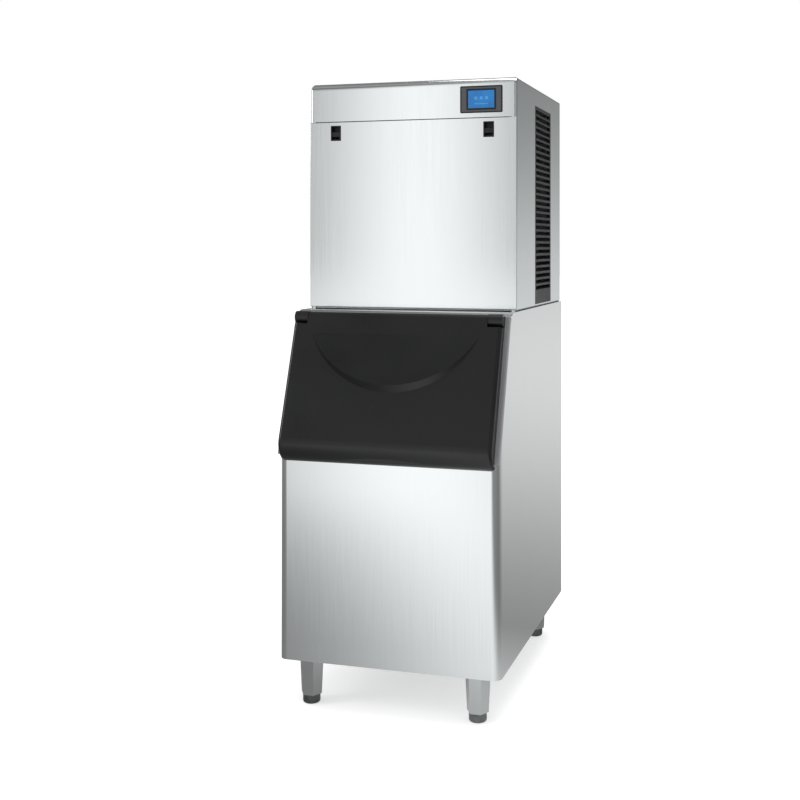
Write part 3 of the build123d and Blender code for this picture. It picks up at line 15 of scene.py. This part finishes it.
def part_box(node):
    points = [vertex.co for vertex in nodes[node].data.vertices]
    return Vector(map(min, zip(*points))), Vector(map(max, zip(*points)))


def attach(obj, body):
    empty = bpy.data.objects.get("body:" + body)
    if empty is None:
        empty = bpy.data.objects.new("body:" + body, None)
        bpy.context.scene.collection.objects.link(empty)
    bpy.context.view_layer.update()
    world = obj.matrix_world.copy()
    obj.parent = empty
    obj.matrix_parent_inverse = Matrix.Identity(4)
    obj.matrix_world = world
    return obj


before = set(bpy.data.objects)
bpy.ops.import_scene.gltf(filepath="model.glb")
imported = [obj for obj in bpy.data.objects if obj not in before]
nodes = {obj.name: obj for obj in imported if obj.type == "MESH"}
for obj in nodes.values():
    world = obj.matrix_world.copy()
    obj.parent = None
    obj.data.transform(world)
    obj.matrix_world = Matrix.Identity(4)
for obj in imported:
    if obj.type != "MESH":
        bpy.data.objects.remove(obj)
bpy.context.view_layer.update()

# %% [markdown]
# ## The camera
# A photograph of a tall machine is usually taken from chest height with the camera level,
# and the lens is shifted so that the upright edges stay parallel. The same is done here:
# the camera isn't tilted, it is turned a little to the left, and its shift moves the
# picture instead.

# %% Place the camera
eye = Vector((0.95226, -3.10636, 1.15488))
turn_left = 0.2857
focal_length, film_width = 53.49, 36
shift_across, shift_up = -0.05575, -0.19456

camera_data = bpy.data.cameras.new("photo_camera")
camera_data.sensor_width = film_width
camera_data.lens = focal_length
camera_data.shift_x = shift_across
camera_data.shift_y = shift_up
camera = bpy.data.objects.new("photo_camera", camera_data)
camera.location = eye
camera.rotation_euler = (radians(90), 0, turn_left)
bpy.context.scene.collection.objects.link(camera)
bpy.context.scene.camera = camera
print("camera at", tuple(camera.location), "lens", camera_data.lens)

# %% [markdown]
# ## Helpers for materials
# A material is a small graph of nodes. Every graph here starts with one Principled shader,
# and its plain values are set straight on the shader. Patterns read the Object coordinates,
# which lie in the machine's own space, so they stay on the surface from every side.


# %% Add nodes to a graph
class Graph:
    """A tree of shader nodes, with short calls for adding to it."""

    def __init__(self, tree):
        self.tree = tree

    def node(self, kind, **settings):
        node = self.tree.nodes.new("ShaderNode" + kind)
        for name, value in settings.items():
            setattr(node, name, value)
        return node

    def wire(self, source, target):
        self.tree.links.new(source, target)

    def math(self, operation, *values):
        """One sum; each value is a number or another node's output."""
        node = self.node("Math", operation=operation)
        for socket, value in zip(node.inputs, values):
            if isinstance(value, (int, float)):
                socket.default_value = value
            else:
                self.wire(value, socket)
        return node.outputs[0]

    def between(self, value, low, high, start=0.3, end=0.7):
        """Maps a value to a range."""
        ranged = self.node("MapRange")
        self.wire(value, ranged.inputs["Value"])
        ranged.inputs["From Min"].default_value = start
        ranged.inputs["From Max"].default_value = end
        ranged.inputs["To Min"].default_value = low
        ranged.inputs["To Max"].default_value = high
        return ranged.outputs["Result"]

    def total(self, first, *others):
        for other in others:
            first = self.math("ADD", first, other)
        return first

    def bell(self, value, centre, width, height=1.0):
        """A soft bump that is as high as its height at its centre."""
        offset = self.math("DIVIDE", self.math("SUBTRACT", value, centre), width)
        power = self.math("MULTIPLY", self.math("MULTIPLY", offset, offset), -1.0)
        return self.math("MULTIPLY", self.math("EXPONENT", power), height)

    def split(self, vector):
        """The three parts of a vector."""
        parts = self.node("SeparateXYZ")
        self.wire(vector, parts.inputs["Vector"])
        return parts.outputs

    def mix(self, factor, first, second):
        """A pattern's colour, or a plain second colour where the factor is one."""
        mixer = self.node("Mix", data_type="RGBA")
        first_colour, second_colour, result = mixer.inputs[6], mixer.inputs[7], mixer.outputs[2]
        self.wire(factor, mixer.inputs["Factor"])
        self.wire(first, first_colour)
        second_colour.default_value = (*second, 1)
        return result


# %% Start a material
class Finish(Graph):
    """One material, with short calls for the patterns that the finishes below share."""

    def __init__(self, name, **values):
        self.material = bpy.data.materials.new(name)
        self.material.use_nodes = True
        super().__init__(self.material.node_tree)
        self.shader = self.tree.nodes["Principled BSDF"]
        for socket, value in values.items():
            self.shader.inputs[socket.replace("_", " ")].default_value = value
        self.place = self.node("TexCoord").outputs["Object"]

    def stretched(self, scale):
        """The object's coordinates, scaled by its own factor along X, Y and Z."""
        mapping = self.node("Mapping")
        mapping.inputs["Scale"].default_value = scale
        self.wire(self.place, mapping.inputs["Vector"])
        return mapping.outputs["Vector"]

    def noise(self, scale, detail=3.0, stretch=(1, 1, 1)):
        noise = self.node("TexNoise")
        noise.inputs["Scale"].default_value = scale
        noise.inputs["Detail"].default_value = detail
        self.wire(self.stretched(stretch), noise.inputs["Vector"])
        return noise.outputs["Fac"]

    def cells(self, scale):
        cells = self.node("TexVoronoi")
        cells.inputs["Scale"].default_value = scale
        self.wire(self.place, cells.inputs["Vector"])
        return cells.outputs["Color"]

    def colours(self, value, dark, light, start=0.3, end=0.7):
        """Maps a pattern's value to a colour between two."""
        ramp = self.node("ValToRGB")
        ramp.color_ramp.elements[0].position = start
        ramp.color_ramp.elements[1].position = end
        ramp.color_ramp.elements[0].color = (*dark, 1)
        ramp.color_ramp.elements[1].color = (*light, 1)
        self.wire(value, ramp.inputs["Fac"])
        return ramp.outputs["Color"]

    def feed(self, socket, source):
        """Lets a pattern set one of the shader's values."""
        self.wire(source, self.shader.inputs[socket])

    def bump(self, height, strength, distance=0.0005, before=None):
        """Adds a bump from a pattern; a coarser bump may come before it."""
        bump = self.node("Bump")
        bump.inputs["Strength"].default_value = strength
        bump.inputs["Distance"].default_value = distance
        self.wire(height, bump.inputs["Height"])
        if before is not None:
            self.wire(before, bump.inputs["Normal"])
        self.feed("Normal", bump.outputs["Normal"])
        return bump.outputs["Normal"]

    def on(self, *names):
        """Gives this finish to CAD nodes, by name."""
        for name in names:
            node = nodes[name]
            node.data.materials.clear()
            node.data.materials.append(self.material)
        print(self.material.name, "on", len(names), "nodes")


# %% [markdown]
# ## Brushed stainless steel
# The outside of the machine is thin stainless sheet, polished with a belt that leaves fine
# parallel lines. They could be drawn as a picture, but a noise that is stretched more than
# a hundredfold along the brushing gives such lines with no picture at all. The same noise
# drives the roughness, a very small bump and a very slight change of tone. A second, broad
# noise stands for the gentle waves that every thin sheet has. The side panels are the same
# steel in a darker tone, which is painted shade. The legs get a darker tone of the same
# steel, and a little less roughness.


# %% Brushed steel
def brushed_steel(name, along, tone=(0.785, 0.815, 0.815), roughness=0.12):
    """Stainless sheet whose brushing runs along one axis."""
    lines_per_metre, breaks_per_metre = 900.0, 6.0
    waves_per_metre, line_shade = 2.2, 0.94
    stretch = [lines_per_metre] * 3
    stretch["XYZ".index(along)] = breaks_per_metre
    steel = Finish(name, Metallic=1.0)
    lines = steel.noise(1.0, detail=4.0, stretch=stretch)
    darker = tuple(value * line_shade for value in tone)
    steel.feed("Base Color", steel.colours(lines, darker, tone))
    steel.feed("Roughness", steel.between(lines, roughness - 0.03, roughness + 0.05))
    waves = steel.bump(steel.noise(waves_per_metre, detail=1.0), strength=0.05, distance=0.004)
    steel.bump(lines, strength=0.06, distance=0.0001, before=waves)
    return steel


brushed_steel("steel_upright_grain", "Z").on("front_panel", "bin_wrap", "top_cover")
# The side panels' darker tone is painted shade on the same steel as the front.
side_painted_shade_tone, leg_tone = (0.72, 0.765, 0.765), (0.58, 0.60, 0.60)
brushed_steel("steel_side_painted_shade", "Z", side_painted_shade_tone).on("side_panel_left", "side_panel_right")
brushed_steel("steel_top_grain", "X").on("bin_top_plate")
brushed_steel("steel_leg", "Z", leg_tone, roughness=0.09).on(
    "leg_front_left", "leg_front_right", "leg_rear_left", "leg_rear_right"
)

# %% [markdown]
# ## Galvanised steel
# The rear sheets, the base and the fan shroud are cheaper steel with a zinc skin. Zinc
# freezes in flakes several millimetres wide, each with its own grey. A Voronoi pattern has
# just such cells, so it gives the tone and the roughness of each flake. The pins, screws
# and leg sockets are zinc-plated too, but too small to show flakes, so they have a noise.

# %% Galvanised and zinc-plated steel
galvanised = Finish("galvanised_sheet", Metallic=0.9)
flakes_per_metre = 130.0
flakes = galvanised.cells(flakes_per_metre)
flake_tone = galvanised.colours(flakes, (0.46, 0.48, 0.49), (0.62, 0.64, 0.65), start=0.1, end=0.9)
galvanised.feed("Base Color", flake_tone)
galvanised.feed("Roughness", galvanised.between(flakes, 0.34, 0.5, start=0.0, end=1.0))
galvanised.bump(galvanised.noise(60.0), strength=0.06)
galvanised.on("bin_rear_panel", "bin_bottom", "head_base", "head_rear_panel", "fan_shroud")

zinc = Finish("zinc_plate", Metallic=1.0)
zinc_tone = zinc.colours(zinc.noise(180.0), (0.52, 0.53, 0.54), (0.68, 0.69, 0.70))
zinc.feed("Base Color", zinc_tone)
zinc.feed("Roughness", zinc.between(zinc.noise(420.0), 0.25, 0.42))
zinc.on("leg_sockets", "hinge_pin_left", "hinge_pin_right", "rear_screws")

# %% [markdown]
# ## The black door and its frame
# The door is a black moulding with a satin skin. The mould was etched, so its surface is
# finely grained, and hands have made the grain a little smoother here and there. A fine
# noise is the bump of the grain, and a broad noise changes the tone and the roughness.
# Other mouldings are made the same way, and the foam only has a coarser grain. The frame
# round the mouth is steel-grey, and only its two hinge lugs are black, so its colour is
# chosen by place: the lugs lie in front of a slanted plane.


# %% Moulded plastics
def moulding(name, dark, light, roughness=(0.34, 0.46), grain=1400.0, depth=0.12):
    """A moulded plastic with an etched grain and slightly uneven gloss."""
    plastic = Finish(name, Specular_IOR_Level=0.5)
    patches_per_metre = 7.0
    broad = plastic.noise(patches_per_metre, detail=5.0)
    plastic.feed("Base Color", plastic.colours(broad, dark, light))
    plastic.feed("Roughness", plastic.between(broad, *roughness))
    plastic.bump(plastic.noise(grain, detail=2.0), strength=depth, distance=0.0002)
    return plastic


door_tones = (0.0055, 0.0058, 0.0066), (0.0080, 0.0083, 0.0092)
moulding("door_black", *door_tones, (0.26, 0.34)).on("bin_door")
moulding("soft_black", (0.006, 0.0062, 0.007), (0.011, 0.0112, 0.012), (0.42, 0.55)).on(
    "latch_housing_left", "latch_housing_right", "latch_slide_left", "latch_slide_right", "control_box",
    "side_grille", "fan_blade", "cable_gland", "water_pump",
)
moulding("ice_side_white", (0.70, 0.72, 0.73), (0.78, 0.80, 0.81), (0.3, 0.42)).on(
    "bin_liner", "door_inner_panel", "bin_drain", "ice_chute", "bulkhead", "evaporator_frame",
    "water_distributor", "water_trough", "water_inlet_valve", "drain_spigot",
)
foam_tones = (0.62, 0.50, 0.26), (0.74, 0.63, 0.38)
moulding("yellow_foam", *foam_tones, (0.8, 0.95), grain=240.0, depth=0.5).on("bin_insulation")
rubber_tones = (0.012, 0.012, 0.013), (0.022, 0.022, 0.023)
moulding("seal_rubber", *rubber_tones, (0.6, 0.75), grain=900.0, depth=0.2).on(
    "door_seal", "compressor_mounts"
)

# %% The door frame, grey with black lugs
slope_lean = radians(18.6)
slope_out = Vector((0, -cos(slope_lean), sin(slope_lean)))
frame_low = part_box("door_frame")[0]
flange_edge = Vector((0, frame_low.y, frame_low.z)).dot(slope_out)
lug_step = 0.0025
lug_black = (0.008, 0.008, 0.009)

frame_grey = Finish("frame_grey", Specular_IOR_Level=0.5)
proud = frame_grey.node("VectorMath", operation="DOT_PRODUCT")
frame_grey.wire(frame_grey.place, proud.inputs[0])
proud.inputs[1].default_value = slope_out
is_lug = frame_grey.math("GREATER_THAN", proud.outputs["Value"], flange_edge + lug_step)
grey_patches = frame_grey.noise(7.0, detail=5.0)
grey_tone = frame_grey.colours(grey_patches, (0.25, 0.255, 0.26), (0.30, 0.305, 0.31))
frame_grey.feed("Base Color", frame_grey.mix(is_lug, grey_tone, lug_black))
frame_grey.feed("Roughness", frame_grey.between(frame_grey.noise(90.0), 0.3, 0.42))
frame_grey.bump(frame_grey.noise(1400.0, detail=2.0), strength=0.12, distance=0.0002)
frame_grey.on("door_frame")

# %% [markdown]
# ## Metals of the machine side
# The grid where the cubes freeze is copper with a nickel plate, the lines are drawn copper
# that has begun to brown, the condenser is pressed aluminium, the screw feet are dark
# steel, and the compressor and the fan motor are dipped in black paint. All but the feet
# are hidden by the covers, so each gets one noise for its tone and its gloss, and a finer
# one for its bump.


# %% Metals and paint
def metal(name, dark, light, scale, roughness, metallic=1.0):
    """A metal or a paint whose tone and gloss follow one noise."""
    finish = Finish(name, Metallic=metallic)
    bump_fineness = 9
    tone = finish.noise(scale, detail=5.0)
    finish.feed("Base Color", finish.colours(tone, dark, light))
    finish.feed("Roughness", finish.between(tone, *roughness))
    finish.bump(finish.noise(scale * bump_fineness), strength=0.05, distance=0.0003)
    return finish


metal("nickel_plate", (0.62, 0.60, 0.55), (0.74, 0.72, 0.67), 20.0, (0.16, 0.28)).on("evaporator_grid")
metal("drawn_copper", (0.50, 0.22, 0.12), (0.78, 0.42, 0.28), 14.0, (0.22, 0.42)).on(
    "evaporator_coil", "filter_drier", "liquid_line", "suction_line", "discharge_line"
)
metal("fin_aluminium", (0.55, 0.56, 0.57), (0.70, 0.71, 0.72), 40.0, (0.3, 0.45)).on("condenser")
metal("foot_steel", (0.13, 0.14, 0.14), (0.24, 0.25, 0.25), 60.0, (0.24, 0.4)).on(
    "foot_front_left", "foot_front_right", "foot_rear_left", "foot_rear_right"
)
metal("dipped_black", (0.010, 0.010, 0.011), (0.018, 0.018, 0.019), 30.0, (0.3, 0.48), metallic=0.0).on(
    "compressor", "fan_motor"
)

# %% [markdown]
# ## Clear plastic
# The water curtain and the pump's hose let the water show. Clear plastic is a transmissive
# shader with a little roughness, which a broad noise makes uneven, as dried water does.

# %% Clear plastic
clear = Finish("clear_plastic", Transmission_Weight=0.85, IOR=1.46)
clear_tone = clear.colours(clear.noise(9.0), (0.70, 0.78, 0.82), (0.82, 0.88, 0.90))
clear.feed("Base Color", clear_tone)
clear.feed("Roughness", clear.between(clear.noise(26.0), 0.08, 0.24))
clear.on("water_curtain", "pump_hose")

# %% [markdown]
# ## The display
# The bezel is a black rim round a grey field, and a second black frame stands close round
# the screen. All three are one moulding, so the colour is chosen by place: two rectangles
# are measured from the boxes of the bezel and the screen. The screen is a blue backlit
# panel that glows a little unevenly, with three small paler squares and a line on it.


# %% Bezel and screen
screen_low, screen_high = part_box("display_screen")
bezel_low, bezel_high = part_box("display_bezel")
screen_middle = (screen_low + screen_high) / 2


def inside(finish, middle, half_x, half_z):
    """One inside an upright rectangle round a point, and nought outside it."""
    across, _, up = finish.split(finish.place)
    near_x = finish.math("COMPARE", across, middle.x, half_x)
    near_z = finish.math("COMPARE", up, middle.z, half_z)
    return finish.math("MULTIPLY", near_x, near_z)


bezel = Finish("display_bezel", Specular_IOR_Level=0.5)
bezel_half = (bezel_high - bezel_low) / 2
screen_half = (screen_high - screen_low) / 2
bezel_middle = (bezel_low + bezel_high) / 2
outer_rim, inner_rim = 0.003, 0.0045
rim_black, field_grey = (0.006, 0.0065, 0.009), (0.085, 0.088, 0.095)
field = inside(bezel, bezel_middle, bezel_half.x - outer_rim, bezel_half.z - outer_rim)
inner = inside(bezel, screen_middle, screen_half.x + inner_rim, screen_half.z + inner_rim)
grey_part = bezel.math("SUBTRACT", field, inner)
bezel_tone = bezel.colours(grey_part, rim_black, field_grey, start=0.0, end=1.0)
bezel.feed("Base Color", bezel_tone)
bezel.feed("Roughness", bezel.between(bezel.noise(300.0), 0.3, 0.42))
bezel.on("display_bezel")

# %% The screen and its marks
mark_spacing, mark_half, mark_height = 0.014, 0.0038, 0.003
line_height, line_half = -0.0115, 0.0011
mark_blue = (0.10, 0.42, 0.72)
mark_places = [(side * mark_spacing, mark_height, mark_half, mark_half) for side in (-1, 0, 1)]
mark_places.append((0.0, line_height, mark_spacing + mark_half, line_half))

screen = Finish("screen_blue", Roughness=0.16, Emission_Strength=0.2)
glow = screen.noise(22.0, detail=2.0)
blue = screen.colours(glow, (0.006, 0.125, 0.38), (0.012, 0.175, 0.48))
marks = 0.0
for across, up, half_x, half_z in mark_places:
    mark_middle = screen_middle + Vector((across, 0, up))
    marks = screen.math("MAXIMUM", marks, inside(screen, mark_middle, half_x, half_z))
faint = screen.math("MULTIPLY", marks, screen.between(screen.noise(500.0), 0.25, 0.6))
screen_tone = screen.mix(faint, blue, mark_blue)
screen.feed("Base Color", screen_tone)
screen.feed("Emission Color", screen_tone)
screen.on("display_screen")

# %% [markdown]
# ## Bends of the condenser's tube
# The tube of a condenser runs to and fro through its fins, and at each turn a short bend
# stands out of the stack. Such a bend is half a ring. Here it is spun from a small circle,
# which is quicker and cleaner than sweeping a curve. The same is done at every second pass
# of the tube, all the way up the front end of the condenser, where the gap to the bulkhead
# leaves room for them. Spin adds its faces in no fixed order, so they are sorted at the
# end. The bends ride with the cabinet, as the condenser does.

# %% Measure the bends
tube_radius, bend_radius = 0.0042, 0.0115
bend_pitch = 4 * bend_radius
sorting_slant = Vector((1.0, 7.31, 53.7))
condenser_low, condenser_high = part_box("condenser")
condenser_middle = (condenser_low + condenser_high) / 2
bend_count = int((condenser_high.z - condenser_low.z - bend_pitch) / bend_pitch)
lowest_bend = condenser_middle.z - (bend_count - 1) / 2 * bend_pitch
print("bends:", bend_count, "from", round(lowest_bend, 3))


# %% Spin the bends
def spin_bend(shape, middle):
    """Half a ring of tube round a point, open to the rear."""
    upright = Matrix.Rotation(pi / 2, 4, "X")
    start = Matrix.Translation(middle + Vector((0, 0, bend_radius))) @ upright
    ring = bmesh.ops.create_circle(shape, segments=14, radius=tube_radius, matrix=start)["verts"]
    edges = list(dict.fromkeys(edge for vert in ring for edge in vert.link_edges))
    bmesh.ops.spin(shape, geom=ring + edges, cent=middle, axis=(1, 0, 0), angle=pi, steps=12)


def make_bends():
    mesh = bpy.data.meshes.new("condenser_bends")
    shape = bmesh.new()
    for index in range(bend_count):
        height = lowest_bend + index * bend_pitch
        spin_bend(shape, Vector((condenser_middle.x, condenser_low.y, height)))
    bmesh.ops.recalc_face_normals(shape, faces=shape.faces)
    shape.faces.sort(key=lambda face: face.calc_center_median().dot(sorting_slant))
    for face in shape.faces:
        face.smooth = True
    shape.to_mesh(mesh)
    shape.free()
    bends = bpy.data.objects.new("condenser_bends", mesh)
    bpy.context.scene.collection.objects.link(bends)
    mesh.materials.append(nodes["evaporator_coil"].data.materials[0])
    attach(bends, "cabinet")


make_bends()

# %% [markdown]
# ## The plain studio
# The machine stands on a white floor in front of a white backdrop. Steel shows what is
# round it, so what the steel sees is designed as carefully as the light. To the front it
# sees one tall soft light between grey walls, and to the side a pale band at the height of
# the horizon. The camera, and light that shines through clear plastic, see plain white.

# %% What steel sees in the studio
tall_light = -0.318


def front_tone(graph, to_side, to_top):
    """The tone in front of the machine, from how far aside and how high it lies."""
    wall = 0.36
    light = graph.bell(to_side, tall_light, width=0.085, height=1.0)
    dark_screen = graph.bell(to_side, 0.0, width=0.14, height=-0.20)
    side_light = graph.bell(to_side, 0.62, width=0.22, height=0.42)
    dark_ceiling = graph.math("ADD", 1.0, graph.bell(to_top, 0.95, width=0.45, height=-0.55))
    return graph.math("MULTIPLY", graph.total(wall, light, dark_screen, side_light), dark_ceiling)


def back_tone(graph, to_top):
    """The tone behind the machine, from how high it lies."""
    wall, band_place = 0.22, -0.10
    return graph.math("ADD", wall, graph.bell(to_top, band_place, width=0.165, height=0.56))


def choose(graph, test, yes, no):
    """One tone where the test is one, and the other where it is nought."""
    return graph.math("ADD", graph.math("MULTIPLY", test, graph.math("SUBTRACT", yes, no)), no)


# %% The world
diffuse_light = 0.78
least_depth = 0.05


def make_world():
    world = bpy.data.worlds.new("studio")
    bpy.context.scene.world = world
    world.use_nodes = True
    sky = Graph(world.node_tree)
    sky.tree.nodes.clear()
    across, ahead, up = sky.split(sky.node("TexCoord").outputs["Generated"])
    depth = sky.math("MAXIMUM", sky.math("ABSOLUTE", ahead), least_depth)
    to_top = sky.math("DIVIDE", up, depth)
    in_front = sky.between(ahead, 1.0, 0.0, start=-0.3, end=0.2)
    front = front_tone(sky, sky.math("DIVIDE", across, depth), to_top)
    seen = choose(sky, in_front, front, back_tone(sky, to_top))
    path = sky.node("LightPath").outputs
    strength = choose(sky, path["Is Glossy Ray"], seen, diffuse_light)
    white = sky.math("MAXIMUM", path["Is Camera Ray"], path["Is Transmission Ray"])
    background = sky.node("Background")
    background.inputs["Color"].default_value = (1, 1, 1, 1)
    sky.wire(sky.math("MAXIMUM", strength, white), background.inputs["Strength"])
    sky.wire(background.outputs["Background"], sky.node("OutputWorld").inputs["Surface"])
    print("world", world.name, "with", len(sky.tree.nodes), "shader nodes")


make_world()

# %% [markdown]
# ## Floor and lamps
# The floor is one very large disc of white board, so that its edge lies on the horizon. It
# glows a little for the camera, which hides where it ends and leaves only a soft shadow.
# The steel sees the same walls and light in it as in the backdrop: their place on the floor
# is worked out from where the camera's mirror image stands behind each sheet.


# %% What steel sees in the floor
eye_height = 1.155
mirror_front_y = 2.37
far_floor, near_floor = -2.9, -0.83
floor_tone, streak_width, streak_tone = 0.28, 0.17, 0.98
streak_lean, streak_fade = -0.11, 0.78
nearest = 0.5


def floor_front_tone(board, across, ahead):
    """The tall light's streak on the floor, which leans and fades towards the machine."""
    aside = board.math("SUBTRACT", across, eye.x)
    to_side = board.math("DIVIDE", aside, board.math("SUBTRACT", mirror_front_y, ahead))
    lean = board.between(ahead, 0.0, streak_lean, far_floor, near_floor)
    fade = board.between(ahead, 1.0, streak_fade, far_floor, near_floor)
    light = board.bell(board.math("ADD", to_side, lean), tall_light, streak_width, streak_tone)
    return board.math("MULTIPLY", board.math("ADD", floor_tone, light), fade)


def floor_back_tone(board, ahead):
    """The backdrop's own band, carried on over the floor behind the machine."""
    distance = board.math("MAXIMUM", board.math("ADD", ahead, -eye.y), nearest)
    return back_tone(board, board.math("DIVIDE", -eye_height, distance))


# %% Floor
floor_radius, camera_glow = 40.0, 0.5


def make_floor():
    mesh = bpy.data.meshes.new("floor")
    shape = bmesh.new()
    bmesh.ops.create_circle(shape, cap_ends=True, segments=64, radius=floor_radius)
    shape.to_mesh(mesh)
    shape.free()
    made = bpy.data.objects.new("floor", mesh)
    bpy.context.scene.collection.objects.link(made)
    board = Finish("floor_board", Roughness=0.9, Specular_IOR_Level=0.0)
    board.shader.inputs["Emission Color"].default_value = (1, 1, 1, 1)
    across, ahead, _ = board.split(board.place)
    in_front = board.between(ahead, 1.0, 0.0, start=-0.75, end=0.4)
    front = floor_front_tone(board, across, ahead)
    seen = choose(board, in_front, front, floor_back_tone(board, ahead))
    path = board.node("LightPath").outputs
    to_eye = board.math("MAXIMUM", path["Is Camera Ray"], path["Is Transmission Ray"])
    plain = board.math("MULTIPLY", to_eye, camera_glow)
    glow = choose(board, path["Is Glossy Ray"], seen, plain)
    board.feed("Emission Strength", glow)
    pale = board.colours(board.noise(3.0), (0.86, 0.86, 0.86), (0.88, 0.88, 0.88))
    tone = board.mix(path["Is Glossy Ray"], pale, (0, 0, 0))
    board.feed("Base Color", tone)
    mesh.materials.append(board.material)
    print("floor", tuple(round(side, 1) for side in made.dimensions))


make_floor()


# %% Lamps
def lamp(name, place, target, size, power):
    """A soft rectangular lamp that points at a target."""
    data = bpy.data.lights.new(name, "AREA")
    data.shape = "RECTANGLE"
    data.size, data.size_y = size
    data.energy = power
    made = bpy.data.objects.new(name, data)
    made.location = place
    made.rotation_euler = (Vector(target) - Vector(place)).to_track_quat("-Z", "Y").to_euler()
    bpy.context.scene.collection.objects.link(made)
    print(name, "of", power, "W")


lamp("left_lamp", place=(-3.4, -2.2, 2.4), target=(0, 0, 0.8), size=(1.2, 1.6), power=34)
lamp("top_lamp", place=(0.6, 0.2, 4.2), target=(0, 0, 0.6), size=(2.4, 2.4), power=50)
bpy.context.scene.view_settings.view_transform = "Standard"
